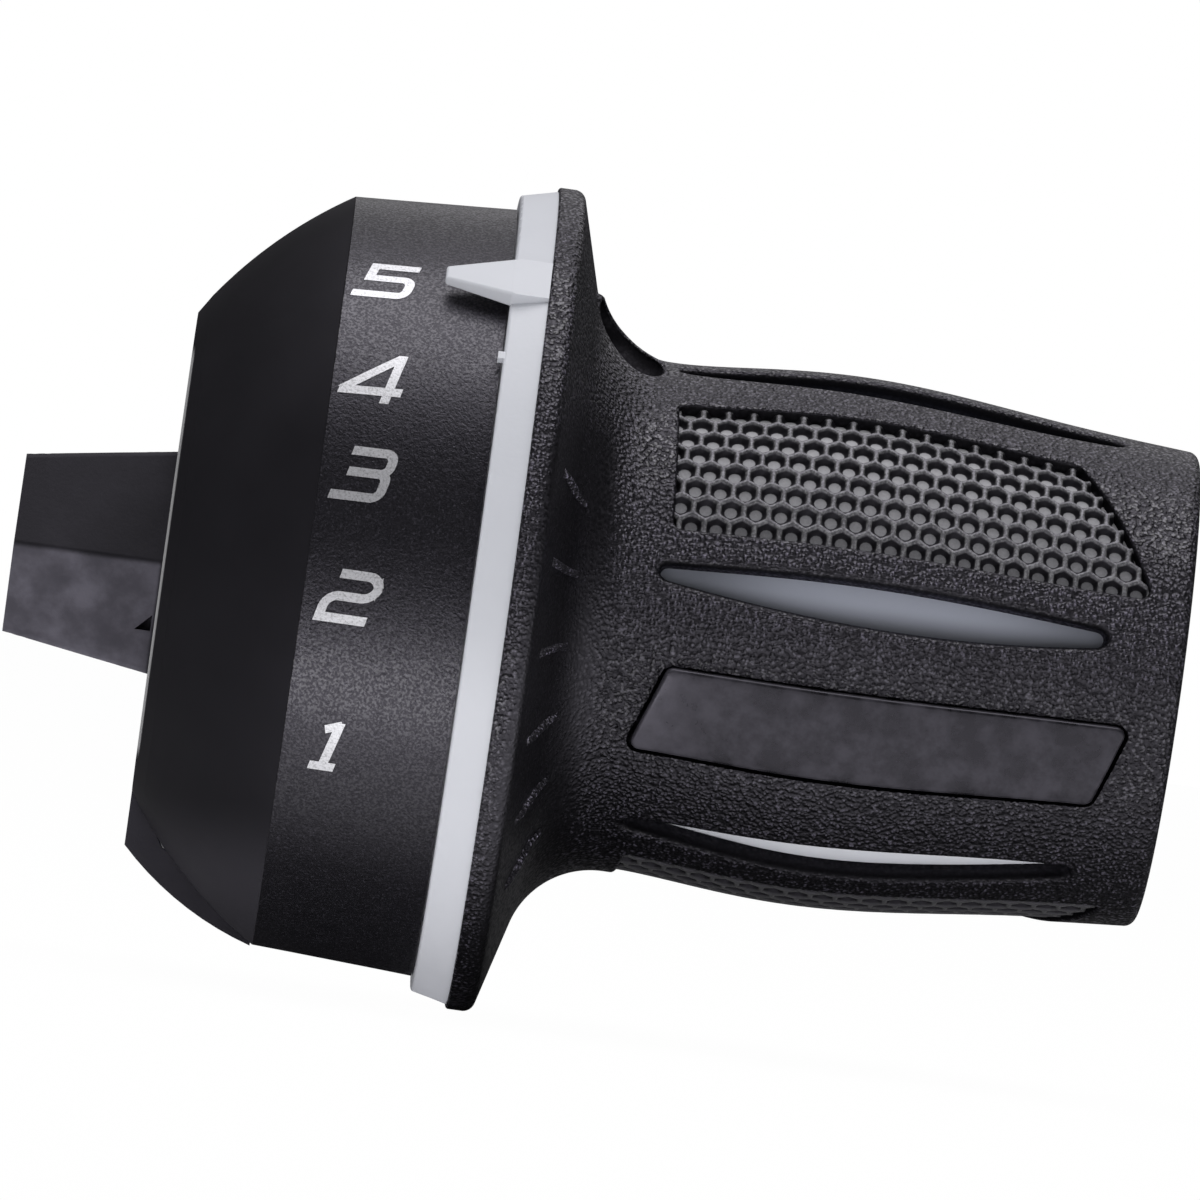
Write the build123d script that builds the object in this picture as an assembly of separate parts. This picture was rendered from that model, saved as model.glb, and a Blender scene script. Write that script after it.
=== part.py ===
"""Twist grip shifter for a bicycle handlebar, modelled at its real size in millimetres."""
from build123d import *
import os
from math import cos, degrees, radians, sin, sqrt, tan

# Frame: X runs along the handlebar with +X outboard, +Z is up, and the viewer looks along +Y.
# x = 0 is the parting plane between the fixed drum and the turning ring.
# Angles round the bar start at the viewer's side (-Y) and grow upwards, in degrees.

# Handlebar and mandrel
bar_bore_radius = 11.15
mandrel_radius = 12.6
mandrel_end_x = 47.6
running_gap = 0.08

# Drum: number band, label dome and inboard end
inboard_x = -20.2
band_mouth_x = 0.15
band_mouth_radius = 26.12
band_rim_bore = 25.6
band_edge_x = -10.75
band_edge_radius = 25.5
dome_middle = (-15.43, 21.96)
dome_end = (-19.35, 17.6)
dome_rim_radius = 16.3
end_wall_thickness = 1.8
end_wall_radius = 16.0
seat_flange_thickness = 1.7
seat_flange_bore = 12.9
wall_inner_start = (-16.57, 18.6)
wall_inner_middle = (-14.2, 21.0)
wall_inner_end = (-10.4, 23.6)
lip_face_x = -0.35
lip_thickness = 1.45
lip_bore = 20.8
lip_root_radius = 24.2
parting_gap = 0.05

# Clamp lobe at the lower back of the drum
lobe_angles = (-90.0, -210.0)
lobe_face_x = -10.9
lobe_start_radius = 25.6
lobe_middle = (-15.8, 23.45)
lobe_end_radius = 20.0
lobe_parting_angle = 0.5
slit_y = 6.1
slit_width = 1.0
relief_slot_width = 0.9
relief_slot_top_z = -3.0

# Clamp bolt and nut, M4
bolt_x = -15.6
bolt_z = -16.4
bolt_radius = 2.0
bolt_hole_radius = 2.2
bolt_seat_y = 11.0
bolt_tip_y = 0.5
bolt_head_radius = 3.5
bolt_head_height = 4.0
bolt_bore_radius = 3.8
bolt_socket_flats = 3.0
bolt_socket_depth = 2.2
nut_flats = 7.0
nut_thickness = 3.2
nut_seat_y = 3.5
nut_gap = 0.05

# Cable outlet stub, behind the bar
stub_y = 16.4
stub_z = -0.82
stub_tip_x = -30.6
stub_root_x = -18.5
stub_half_height = 8.05
stub_tip_half_height = 6.46
stub_front_depth = 4.2
stub_shoulder_y = -0.4
stub_back_depth = 3.6
stub_back_half_height = 4.5
stub_edge_round = 0.5
outlet_bore_radius = 2.6
outlet_bore_depth = 8.0
cable_hole_radius = 1.1
notch_x = -20.9
notch_z = -5.2
notch_size = 1.1

# Cover screws, in a ring on the inboard end wall
cover_screw_angles = (-60.0, 30.0, 120.0)
cover_screw_ring = 14.25
cover_screw_radius = 1.0
cover_screw_hole_radius = 1.05
cover_screw_head_radius = 1.5
cover_screw_head_height = 1.0
cover_screw_bore_radius = 1.65
cover_screw_tip_x = -16.0
cross_depth = 0.5
cross_half_width = 0.2
cross_half_length = 1.0

# Gear positions, as turns of the grip from the highest gear
gear_turns = (0.0, 19.2, 35.5, 54.2, 77.9)

# Cable spool inside the drum
neck_radius = 14.2
neck_end_x = -10.4
spool_left_x = -9.7
spool_right_x = -2.1
groove_wall_radius = 19.2
groove_radius = 16.4
groove_left_x = (-9.0, -8.8)
groove_right_x = (-7.3, -7.1)
detent_rim_radius = 20.5
trap_flange_x = -4.5
trap_flange_radius = 22.6
key_angles = (30.0, 150.0, 270.0)
key_width = 3.0
key_height = 1.0
key_gap = 0.05
key_root = 0.5
hook_height = 1.5
cable_head_radius = 2.2
cable_head_ring = 17.2
cable_head_angle = 160.0
cable_head_floor_x = -5.0

# Detent leaf spring in the drum
nose_angle = 200.0
nose_radius = 20.4
notch_radius = 0.9
leaf_thickness = 0.4
leaf_radius = 23.4
leaf_half_span = 32.0
leaf_bend_angle = 8.0
leaf_nose_angle = 1.2
leaf_x = (-7.0, -4.8)
leaf_rib_x = (-7.3, -4.75)
leaf_rib_span = 8.0
leaf_stop_span = 4.0
leaf_stop_gap = 0.3
leaf_stop_radius = 22.95

# Turning ring and pointer
ring_left_x = 0.25
ring_right_x = 2.75
ring_left_radius = 27.1
ring_right_radius = 27.7
ring_edge_round = 0.25
collar_x = -0.2
collar_radius = 25.45
pointer_angle = 49.6
pointer_tip_x = -4.2
pointer_tip_sides = (0.75, -0.5)
pointer_half_width = 1.85
pointer_under_radius = 26.75
pointer_top_radius = 27.95
pointer_tip_top_radius = 27.45
pointer_round = 0.22
nub_angle = 36.0
nub_size = 0.55
nub_overhang = 0.1

# Grip contour, shared by the barrel, the rubber sleeve, the pads and the plate
grip_end_x = 48.1
barrel_end_x = 47.3
flange_radius = 28.0
flange_round = 0.8
flare_centre = (12.0, 23.35)
flare_radius = 6.0
flare_turn = 74.5
contour_points = ((12.0, 17.35), (23.5, 18.15), (37.4, 17.1), (47.3, 16.2))
contour_end_slope = -0.08
sleeve_thickness = 1.3
end_lip_bore = 13.2
end_round = 0.7
barrel_cone_radius = 24.5
core_mouth_radius = 22.4
core_floor_x = 6.3
core_floor_radius = 16.4
core_inner_radius = 15.3

# Sleeve decoration, mirrored about the middle of the plate
mirror_angle = -22.9
window_offsets = (30.8, -28.2, 100.0, -100.0, 180.0)
window_x = (12.6, 42.7)
window_bow = (0.8, -0.45, 0.35)
window_half_width = 1.4
window_end_half_width = 0.55
window_end_round = 0.5
pad_offset = 61.75
back_pad_offset = 129.35
pad_half_width = 5.5
pad_long_x = (13.1, 45.4)
pad_short_x = (12.6, 39.8)
pad_end_bulge = (43.3, -0.57)
pad_corner_round = 0.6
pad_depth = 1.0
pad_sink = 0.25
pad_gap = 0.3
plate_offset = 3.3
plate_half_width = 3.0
plate_top_x = (14.0, 44.9)
plate_bottom_x = (12.0, 43.1)
plate_depth = 0.6
plate_rise = 0.55
plate_round = 0.7
rib_count = 6
rib_first_angle = 20.4
rib_step = -13.9
rib_width_angle = 1.6
rib_rise = 0.4
rib_sink = 0.3
rib_start_turn = 53.0
rib_reach = 3.6
rib_crest_reach = 3.0
slot_angle = 75.0
slot_middle_x = 9.1
slot_length = 5.0
slot_width = 2.7
slot_slant = -28.0
slot_floor_radius = 16.4

# Honeycomb of the pads
cell_pitch = 2.3
cell_wall = 0.5
cell_floor = 0.8
cell_rows = 5
cell_margin = 1.0
pad_mid_radius = 17.7

outside_radius = 40.0


def towards(angle):
    """Turn from the viewer's side to an angle round the bar."""
    return Rot(-angle, 0, 0)


def turned(*points):
    """Closed outline in the x, radius plane, turned round the bar axis."""
    return revolve(make_face(Polyline(*points, close=True)), Axis.X)


def tube(x_start, x_end, inner, outer):
    return turned((x_start, inner), (x_end, inner), (x_end, outer), (x_start, outer))


def sector(face, angle_high, angle_low):
    """Face in the x, radius plane, swept round the bar between two angles."""
    swept = revolve(face, Axis.X, revolution_arc=angle_high - angle_low)
    return Rot(180 - angle_high, 0, 0) * swept


def box_face(x_start, x_end, inner, outer):
    outline = Polyline((x_start, inner), (x_end, inner), (x_end, outer), (x_start, outer), close=True)
    return make_face(outline)


def radial_prism(face, start_radius, end_radius):
    """Flat outline in x and sideways distance, raised away from the bar on the viewer's side."""
    return extrude(Plane.XZ.offset(start_radius) * face, amount=end_radius - start_radius)


def rod_along_x(x_start, x_end, radius, y=0.0, z=0.0):
    plane = Plane(origin=(x_start, y, z), z_dir=(1, 0, 0))
    return extrude(plane * Circle(radius), amount=x_end - x_start)


def rod_along_y(y_start, y_end, radius, x, z):
    plane = Plane(origin=(x, y_start, z), z_dir=(0, 1, 0))
    return extrude(plane * Circle(radius), amount=y_end - y_start)


def hex_along_y(y_start, y_end, flats, x, z):
    plane = Plane(origin=(x, y_start, z), x_dir=(1, 0, 0), z_dir=(0, 1, 0))
    return extrude(plane * RegularPolygon(flats / 2, 6, major_radius=False), amount=y_end - y_start)


def block(x_range, y_range, z_range):
    size = [high - low for low, high in (x_range, y_range, z_range)]
    middle = [(high + low) / 2 for low, high in (x_range, y_range, z_range)]
    return Pos(*middle) * Box(*size)


# Grip contour

def contour(inset):
    """Barrel-shaped grip line from the neck to the outboard end, moved in by inset."""
    points = [(x, radius - inset) for x, radius in contour_points]
    return Spline(*points, tangents=[(1, 0), (1, contour_end_slope)])


def flare_point(radius, turn):
    return (
        flare_centre[0] - radius * sin(radians(turn)),
        flare_centre[1] - radius * cos(radians(turn)),
    )


def flare_arc(radius, turn_start, turn_end):
    middle = (turn_start + turn_end) / 2
    return ThreePointArc(
        flare_point(radius, turn_start), flare_point(radius, middle), flare_point(radius, turn_end)
    )


def grip_layer(inset_low, inset_high):
    """Shell between two insets of the grip contour."""
    low = contour(inset_low)
    high = contour(inset_high)
    ends = [Line(low @ 0, high @ 0), Line(low @ 1, high @ 1)]
    return revolve(make_face([low, high] + ends), Axis.X)


# Fixed pieces

def clamp_lobe():
    start = (lobe_face_x, lobe_start_radius)
    end = (inboard_x, lobe_end_radius)
    edges = [
        ThreePointArc(start, lobe_middle, end),
        Polyline(end, (inboard_x, bar_bore_radius), (lobe_face_x, bar_bore_radius), start),
    ]
    return sector(make_face(edges), *lobe_angles)


def stub_section(x, half_height):
    scale = half_height / stub_half_height
    points = (
        (-stub_front_depth, 0.0),
        (stub_shoulder_y, stub_half_height),
        (stub_back_depth, stub_back_half_height),
        (stub_back_depth, -stub_back_half_height),
        (stub_shoulder_y, -stub_half_height),
    )
    plane = Plane(origin=(x, stub_y, stub_z), x_dir=(0, 1, 0), z_dir=(1, 0, 0))
    scaled = [(y * scale, z * scale) for y, z in points]
    return plane * make_face(Polyline(*scaled, close=True))


def outlet_stub():
    slope = (stub_half_height - stub_tip_half_height) / (inboard_x - stub_tip_x)
    root_half_height = stub_half_height + slope * (stub_root_x - inboard_x)
    tip = stub_section(stub_tip_x, stub_tip_half_height)
    root = stub_section(stub_root_x, root_half_height)
    stub = loft([tip, root])
    length = inboard_x - stub_tip_x
    long_edges = [edge for edge in stub.edges() if edge.bounding_box().size.X > length]
    return fillet(long_edges, stub_edge_round)


def screw_place(angle):
    return towards(angle) * Pos(0, -cover_screw_ring, 0)


def housing_base():
    body = tube(inboard_x, mandrel_end_x, bar_bore_radius, mandrel_radius)
    body += tube(inboard_x, inboard_x + end_wall_thickness, bar_bore_radius, end_wall_radius)
    body += clamp_lobe()
    body += outlet_stub()
    slit = (slit_y - slit_width / 2, slit_y + slit_width / 2)
    collar = (inboard_x - 1, lobe_face_x)
    body -= block(collar, slit, (-outside_radius, -bar_bore_radius / 2))
    relief = (lobe_face_x, lobe_face_x + relief_slot_width)
    body -= block(relief, (-outside_radius, outside_radius), (-outside_radius, relief_slot_top_z))
    body -= rod_along_y(-1, bolt_seat_y + 1, bolt_hole_radius, bolt_x, bolt_z)
    body -= rod_along_y(bolt_seat_y, outside_radius, bolt_bore_radius, bolt_x, bolt_z)
    body -= hex_along_y(-1, nut_seat_y, nut_flats + 2 * nut_gap, bolt_x, bolt_z)
    body -= rod_along_x(stub_tip_x, stub_tip_x + outlet_bore_depth, outlet_bore_radius, stub_y, stub_z)
    body -= rod_along_x(stub_tip_x, lobe_face_x + 1, cable_hole_radius, stub_y, stub_z)
    notch = Plane.XZ.offset(-stub_y) * (Pos(notch_x, notch_z) * Triangle(a=notch_size, b=notch_size, C=90))
    body -= extrude(notch, amount=stub_front_depth)
    for angle in cover_screw_angles:
        hole = rod_along_x(inboard_x - 1, inboard_x + end_wall_thickness + 1, cover_screw_hole_radius)
        recess = rod_along_x(inboard_x - 1, inboard_x + cover_screw_head_height, cover_screw_bore_radius)
        body -= screw_place(angle) * (hole + recess)
    return body


def cover_shell():
    seat_x = inboard_x + end_wall_thickness
    opening = end_wall_radius + parting_gap
    lip_x = lip_face_x - lip_thickness
    edges = [
        Polyline(
            (lip_face_x, lip_bore),
            (lip_face_x, band_rim_bore),
            (band_mouth_x, band_rim_bore),
            (band_mouth_x, band_mouth_radius),
            (band_edge_x, band_edge_radius),
        ),
        ThreePointArc((band_edge_x, band_edge_radius), dome_middle, dome_end),
        Polyline(
            dome_end,
            (inboard_x, dome_rim_radius),
            (inboard_x, opening),
            (seat_x, opening),
            (seat_x, seat_flange_bore),
            (seat_x + seat_flange_thickness, seat_flange_bore),
            wall_inner_start,
        ),
        ThreePointArc(wall_inner_start, wall_inner_middle, wall_inner_end),
        Polyline(wall_inner_end, (lip_x, lip_root_radius), (lip_x, lip_bore), (lip_face_x, lip_bore)),
    ]
    return revolve(make_face(edges), Axis.X)


def leaf_seats():
    """Two ribs with end stops inside the number band, which hold the leaf spring."""
    rest_radius = leaf_radius + leaf_thickness / 2
    seats = []
    for side in (-1, 1):
        stop = leaf_half_span + leaf_stop_gap
        spans = (
            (rest_radius, leaf_half_span - leaf_rib_span, stop + leaf_stop_span),
            (leaf_stop_radius, stop, stop + leaf_stop_span),
        )
        for inner, near, far in spans:
            angles = sorted((nose_angle + side * near, nose_angle + side * far), reverse=True)
            seats.append(sector(box_face(*leaf_rib_x, inner, lip_root_radius), *angles))
    return seats


def housing_cover():
    cover = cover_shell()
    for seat in leaf_seats():
        cover += seat
    high = lobe_angles[0] + lobe_parting_angle
    low = lobe_angles[1] - lobe_parting_angle
    lobe_room = box_face(inboard_x - 1, lobe_face_x + 2 * parting_gap, 1.0, outside_radius)
    cover -= sector(lobe_room, high, low)
    seat_x = inboard_x + end_wall_thickness
    for angle in cover_screw_angles:
        cover -= screw_place(angle) * rod_along_x(seat_x - 1, cover_screw_tip_x + 1, cover_screw_hole_radius)
    return cover


def clamp_bolt():
    bolt = rod_along_y(bolt_tip_y, bolt_seat_y, bolt_radius, bolt_x, bolt_z)
    head_end = bolt_seat_y + bolt_head_height
    bolt += rod_along_y(bolt_seat_y, head_end, bolt_head_radius, bolt_x, bolt_z)
    return bolt - hex_along_y(head_end - bolt_socket_depth, head_end + 1, bolt_socket_flats, bolt_x, bolt_z)


def clamp_nut():
    nut = hex_along_y(nut_seat_y - nut_thickness, nut_seat_y, nut_flats, bolt_x, bolt_z)
    return nut - rod_along_y(-1, nut_seat_y + 1, bolt_radius + nut_gap, bolt_x, bolt_z)


def cover_screw(angle):
    head_x = inboard_x + cover_screw_head_height
    screw = rod_along_x(inboard_x, head_x, cover_screw_head_radius)
    screw += rod_along_x(head_x, cover_screw_tip_x, cover_screw_radius)
    width = (-cross_half_width, cross_half_width)
    slot = block((inboard_x - 1, inboard_x + cross_depth), width, (-cross_half_length, cross_half_length))
    cross = slot + Rot(90, 0, 0) * slot
    return screw_place(angle) * (screw - cross)


def cover_screws():
    return Compound([cover_screw(angle).solid() for angle in cover_screw_angles])


def detent_spring():
    """Leaf with a bent nose, drawn in the cross section facing the viewer and turned to its place."""

    def spot(radius, angle):
        return (radius * sin(radians(angle)), radius * cos(radians(angle)))

    path = []
    for side in (-1, 1):
        end = spot(leaf_radius, side * leaf_half_span)
        middle = spot(leaf_radius, side * (leaf_half_span + leaf_bend_angle) / 2)
        bend = spot(leaf_radius, side * leaf_bend_angle)
        tip = spot(nose_radius, side * leaf_nose_angle)
        path += [ThreePointArc(end, middle, bend), Line(bend, tip)]
    path.append(Line(spot(nose_radius, -leaf_nose_angle), spot(nose_radius, leaf_nose_angle)))
    strip = trace(path, line_width=leaf_thickness)
    plane = Plane(origin=(leaf_x[0], 0, 0), x_dir=(0, 0, 1), z_dir=(1, 0, 0))
    return towards(nose_angle) * extrude(plane * strip, amount=leaf_x[1] - leaf_x[0])


# Turning pieces

def neck_key(width, height):
    outline = Pos((spool_right_x + neck_end_x) / 2, 0) * Rectangle(spool_right_x - neck_end_x, width)
    return radial_prism(outline, neck_radius - key_root, neck_radius + height)


def neck_hook():
    outline = Pos((spool_left_x + neck_end_x) / 2, 0) * Rectangle(spool_left_x - neck_end_x, key_width)
    return radial_prism(outline, neck_radius - key_root, neck_radius + hook_height)


def pointer():
    side = Polyline(
        (ring_right_x, pointer_under_radius),
        (ring_right_x, pointer_top_radius),
        (ring_left_x, pointer_top_radius),
        (pointer_tip_x, pointer_tip_top_radius),
        (pointer_tip_x, pointer_under_radius),
        close=True,
    )
    wedge = extrude(Plane.XY * make_face(side), amount=2 * pointer_half_width, both=True)
    plan = Polyline(
        (ring_right_x, pointer_half_width),
        (ring_left_x, pointer_half_width),
        (pointer_tip_x, pointer_tip_sides[0]),
        (pointer_tip_x, pointer_tip_sides[1]),
        (ring_left_x, -pointer_half_width),
        (ring_right_x, -pointer_half_width),
        close=True,
    )
    outline = radial_prism(make_face(plan), pointer_under_radius, outside_radius)
    blade = outline & Rot(180, 0, 0) * wedge
    free_edges = [edge for edge in blade.edges() if edge.bounding_box().min.X < ring_left_x - parting_gap]
    return towards(pointer_angle) * fillet(free_edges, pointer_round)


def grip_barrel():
    inner = mandrel_radius + running_gap
    flare_start = flare_point(flare_radius + sleeve_thickness, flare_turn)
    outer = contour(sleeve_thickness)
    end = outer @ 1
    edges = [
        outer,
        flare_arc(flare_radius + sleeve_thickness, 0, flare_turn),
        Polyline(
            flare_start,
            (ring_right_x, barrel_cone_radius),
            (ring_right_x, ring_right_radius),
            (ring_left_x, ring_left_radius),
            (ring_left_x, collar_radius),
            (collar_x, collar_radius),
            (collar_x, core_mouth_radius),
            (core_floor_x, core_floor_radius),
            (core_floor_x, core_inner_radius),
            (ring_left_x, core_inner_radius),
            (ring_left_x, neck_radius),
            (neck_end_x, neck_radius),
            (neck_end_x, inner),
            (barrel_end_x, inner),
            (end.X, end.Y),
        ),
    ]
    face = make_face(edges)
    ring_corner = face.vertices().sort_by_distance((ring_left_x, ring_left_radius, 0))[0]
    barrel = revolve(fillet(ring_corner, ring_edge_round), Axis.X)
    for angle in key_angles:
        barrel += towards(angle) * (neck_key(key_width, key_height) + neck_hook())
    nub_x = ring_left_x - nub_overhang
    nub = Pos(nub_x, nub_size / 2 - ring_left_radius, 0) * Box(nub_size, nub_size, nub_size)
    barrel += towards(nub_angle) * nub
    barrel -= tube(neck_end_x - 1, barrel_end_x, 1.0, inner)
    return barrel + pointer()


def cable_spool():
    spool = turned(
        (spool_left_x, neck_radius),
        (spool_left_x, groove_wall_radius),
        (groove_left_x[0], groove_wall_radius),
        (groove_left_x[1], groove_radius),
        (groove_right_x[0], groove_radius),
        (groove_right_x[1], detent_rim_radius),
        (trap_flange_x, detent_rim_radius),
        (trap_flange_x, trap_flange_radius),
        (spool_right_x, trap_flange_radius),
        (spool_right_x, neck_radius),
    )
    for angle in key_angles:
        spool -= towards(angle) * neck_key(key_width + 2 * key_gap, key_height + key_gap)
    for turn in gear_turns:
        notch = rod_along_x(groove_right_x[1] - 1, trap_flange_x, notch_radius, y=-detent_rim_radius)
        spool -= towards(nose_angle + turn) * notch
    pocket = rod_along_x(spool_left_x - 1, cable_head_floor_x, cable_head_radius, y=-cable_head_ring)
    return spool - towards(cable_head_angle) * pocket


def sleeve_shell():
    outer = contour(0)
    inner = contour(sleeve_thickness)
    outer_end = outer @ 1
    inner_end = inner @ 1
    cone = flare_point(flare_radius, flare_turn)
    slope = tan(radians(flare_turn))
    corner_x = cone[0] - (flange_radius - cone[1]) / slope
    edges = [
        inner,
        flare_arc(flare_radius + sleeve_thickness, 0, flare_turn),
        Polyline(
            flare_point(flare_radius + sleeve_thickness, flare_turn),
            (ring_right_x, barrel_cone_radius),
            (ring_right_x, flange_radius),
            (corner_x, flange_radius),
            cone,
        ),
        flare_arc(flare_radius, 0, flare_turn),
        outer,
        Polyline(
            (outer_end.X, outer_end.Y),
            (grip_end_x, outer_end.Y),
            (grip_end_x, end_lip_bore),
            (barrel_end_x, end_lip_bore),
            (inner_end.X, inner_end.Y),
        ),
    ]
    face = make_face(edges)
    corner = face.vertices().sort_by_distance((corner_x, flange_radius, 0))[0]
    face = fillet(corner, flange_round)
    end_corner = face.vertices().sort_by_distance((grip_end_x, outer_end.Y, 0))[0]
    return revolve(fillet(end_corner, end_round), Axis.X)


def lens_outline():
    """Bowed lens with blunt ends, seen from outside."""
    left, right = window_x
    stations = (left, (left + right) / 2, right)
    widths = (window_end_half_width, window_half_width, window_end_half_width)
    upper = [(x, bow + width) for x, bow, width in zip(stations, window_bow, widths)]
    lower = [(x, bow - width) for x, bow, width in zip(stations, window_bow, widths)]
    edges = [
        ThreePointArc(*upper),
        ThreePointArc(*lower),
        Line(upper[0], lower[0]),
        Line(upper[2], lower[2]),
    ]
    face = make_face(edges)
    return fillet(face.vertices(), window_end_round)


def pad_outline():
    """Pad seen from outside: long edge below, short edge above, bowed outboard end."""
    half = pad_half_width
    edges = [
        Polyline(
            (pad_short_x[1], half), (pad_short_x[0], half), (pad_long_x[0], -half), (pad_long_x[1], -half)
        ),
        ThreePointArc((pad_long_x[1], -half), pad_end_bulge, (pad_short_x[1], half)),
    ]
    face = make_face(edges)
    return fillet(face.vertices(), pad_corner_round)


def plate_outline():
    half = plate_half_width
    points = (
        (plate_top_x[0], half),
        (plate_top_x[1], half),
        (plate_bottom_x[1], -half),
        (plate_bottom_x[0], -half),
    )
    face = make_face(Polyline(*points, close=True))
    return fillet(face.vertices(), plate_round)


def pad_places():
    """Angle of each pad's middle, and whether the pad is mirrored."""
    return (
        (mirror_angle + pad_offset, False),
        (mirror_angle - pad_offset, True),
        (mirror_angle + back_pad_offset, True),
        (mirror_angle - back_pad_offset, False),
    )


def placed(shape, angle, mirrored):
    if mirrored:
        shape = mirror(shape, about=Plane.XY)
    return towards(angle) * shape


def cone_point(radius, reach):
    """Point on the straight cone above the flare, past the end of the flare arc."""
    x, height = flare_point(radius, flare_turn)
    return (x - reach * cos(radians(flare_turn)), height + reach * sin(radians(flare_turn)))


def thumb_rib(angle):
    root = flare_radius + rib_sink
    crest = flare_radius - rib_rise
    edges = [
        flare_arc(root, rib_start_turn, flare_turn),
        flare_arc(crest, rib_start_turn, flare_turn),
        Line(flare_point(root, rib_start_turn), flare_point(crest, rib_start_turn)),
        Polyline(
            flare_point(root, flare_turn),
            cone_point(root, rib_reach),
            cone_point(crest, rib_crest_reach),
            flare_point(crest, flare_turn),
        ),
    ]
    return sector(make_face(edges), angle + rib_width_angle / 2, angle - rib_width_angle / 2)


def rubber_sleeve():
    sleeve = sleeve_shell()
    for number in range(rib_count):
        sleeve += thumb_rib(rib_first_angle + number * rib_step)
    window = radial_prism(lens_outline(), bar_bore_radius, outside_radius)
    for offset in window_offsets:
        sleeve -= towards(mirror_angle + offset) * window
    recess = radial_prism(pad_outline(), bar_bore_radius, outside_radius) & grip_layer(pad_depth, -pad_depth)
    for angle, mirrored in pad_places():
        sleeve -= placed(recess, angle, mirrored)
    plate = radial_prism(plate_outline(), bar_bore_radius, outside_radius)
    plate_seat = plate & grip_layer(plate_depth, -pad_depth)
    sleeve -= towards(mirror_angle + plate_offset) * plate_seat
    slot = Pos(slot_middle_x, 0) * Rot(0, 0, slot_slant) * SlotOverall(slot_length, slot_width)
    sleeve -= towards(slot_angle) * radial_prism(slot, slot_floor_radius, outside_radius)
    return sleeve


def honeycomb_cells():
    """Radial hexagonal prisms in staggered rows over the pad."""
    row_step = cell_pitch * sqrt(3) / 2
    cell = radial_prism(
        RegularPolygon((cell_pitch - cell_wall) / 2, 6, major_radius=False, rotation=30),
        bar_bore_radius,
        outside_radius,
    )
    inset = pad_gap + cell_margin + cell_pitch / 2
    cells = []
    for row in range(cell_rows):
        rise = (row - (cell_rows - 1) / 2) * row_step
        share = (rise + pad_half_width) / (2 * pad_half_width)
        start = pad_long_x[0] + (pad_short_x[0] - pad_long_x[0]) * share + inset
        end = pad_long_x[1] + (pad_short_x[1] - pad_long_x[1]) * share - inset
        shift = (row % 2) * cell_pitch / 2
        turn = degrees(rise / pad_mid_radius)
        count = int((end - start - shift) / cell_pitch) + 1
        for column in range(count):
            cells.append(towards(turn) * Pos(start + shift + column * cell_pitch, 0, 0) * cell)
    return cells


def honeycomb_pad():
    inner = offset(pad_outline(), amount=-pad_gap)
    pad = radial_prism(inner, bar_bore_radius, outside_radius) & grip_layer(pad_depth, pad_sink)
    cell_room = grip_layer(cell_floor, -pad_depth)
    return pad - [cell & cell_room for cell in honeycomb_cells()]


def badge_plate():
    plate = radial_prism(plate_outline(), bar_bore_radius, outside_radius)
    raised = plate & grip_layer(plate_depth, -plate_rise)
    return towards(mirror_angle + plate_offset) * raised


# Write one file for each piece

def pieces():
    made = {
        "housing_base": housing_base(),
        "housing_cover": housing_cover(),
        "clamp_bolt": clamp_bolt(),
        "clamp_nut": clamp_nut(),
        "cover_screws": cover_screws(),
        "detent_spring": detent_spring(),
        "cable_spool": cable_spool(),
        "grip_barrel": grip_barrel(),
        "rubber_sleeve": rubber_sleeve(),
        "badge_plate": badge_plate(),
    }
    pad = honeycomb_pad()
    for number, (angle, mirrored) in enumerate(pad_places(), start=1):
        made[f"grip_pad_{number}"] = placed(pad, angle, mirrored)
    return made


os.makedirs("parts", exist_ok=True)
for name, solid in pieces().items():
    export_step(solid, f"parts/{name}.step")
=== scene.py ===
"""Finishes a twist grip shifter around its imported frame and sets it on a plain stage."""

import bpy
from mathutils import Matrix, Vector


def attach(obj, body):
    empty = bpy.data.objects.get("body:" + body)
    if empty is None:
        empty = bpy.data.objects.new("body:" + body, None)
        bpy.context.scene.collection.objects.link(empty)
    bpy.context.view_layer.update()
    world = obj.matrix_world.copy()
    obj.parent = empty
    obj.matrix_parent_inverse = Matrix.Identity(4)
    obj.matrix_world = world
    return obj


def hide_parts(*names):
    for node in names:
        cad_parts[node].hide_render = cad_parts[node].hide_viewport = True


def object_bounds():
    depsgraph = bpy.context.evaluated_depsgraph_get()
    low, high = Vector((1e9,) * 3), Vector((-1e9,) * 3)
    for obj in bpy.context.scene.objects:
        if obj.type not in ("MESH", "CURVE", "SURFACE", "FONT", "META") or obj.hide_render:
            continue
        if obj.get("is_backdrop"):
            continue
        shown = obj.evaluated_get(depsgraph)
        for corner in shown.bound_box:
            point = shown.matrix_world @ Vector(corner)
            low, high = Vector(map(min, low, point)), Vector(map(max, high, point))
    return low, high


bl_info = {
    "name": "Twist grip shifter",
    "version": (1, 0, 0),
    "blender": (4, 5, 0),
    "location": "View3D > Sidebar > Shifter",
    "description": "Builds the surfaces, numbers and finishes of a twist grip shifter",
    "category": "Object",
}

from bisect import bisect_left
from math import ceil, cos, hypot, pi, radians, sin, sqrt, tan

import bmesh
import bpy
import numpy as np
from bpy.props import FloatProperty, FloatVectorProperty, IntProperty, PointerProperty
from mathutils import Matrix, Vector
from mathutils.geometry import delaunay_2d_cdt

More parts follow.
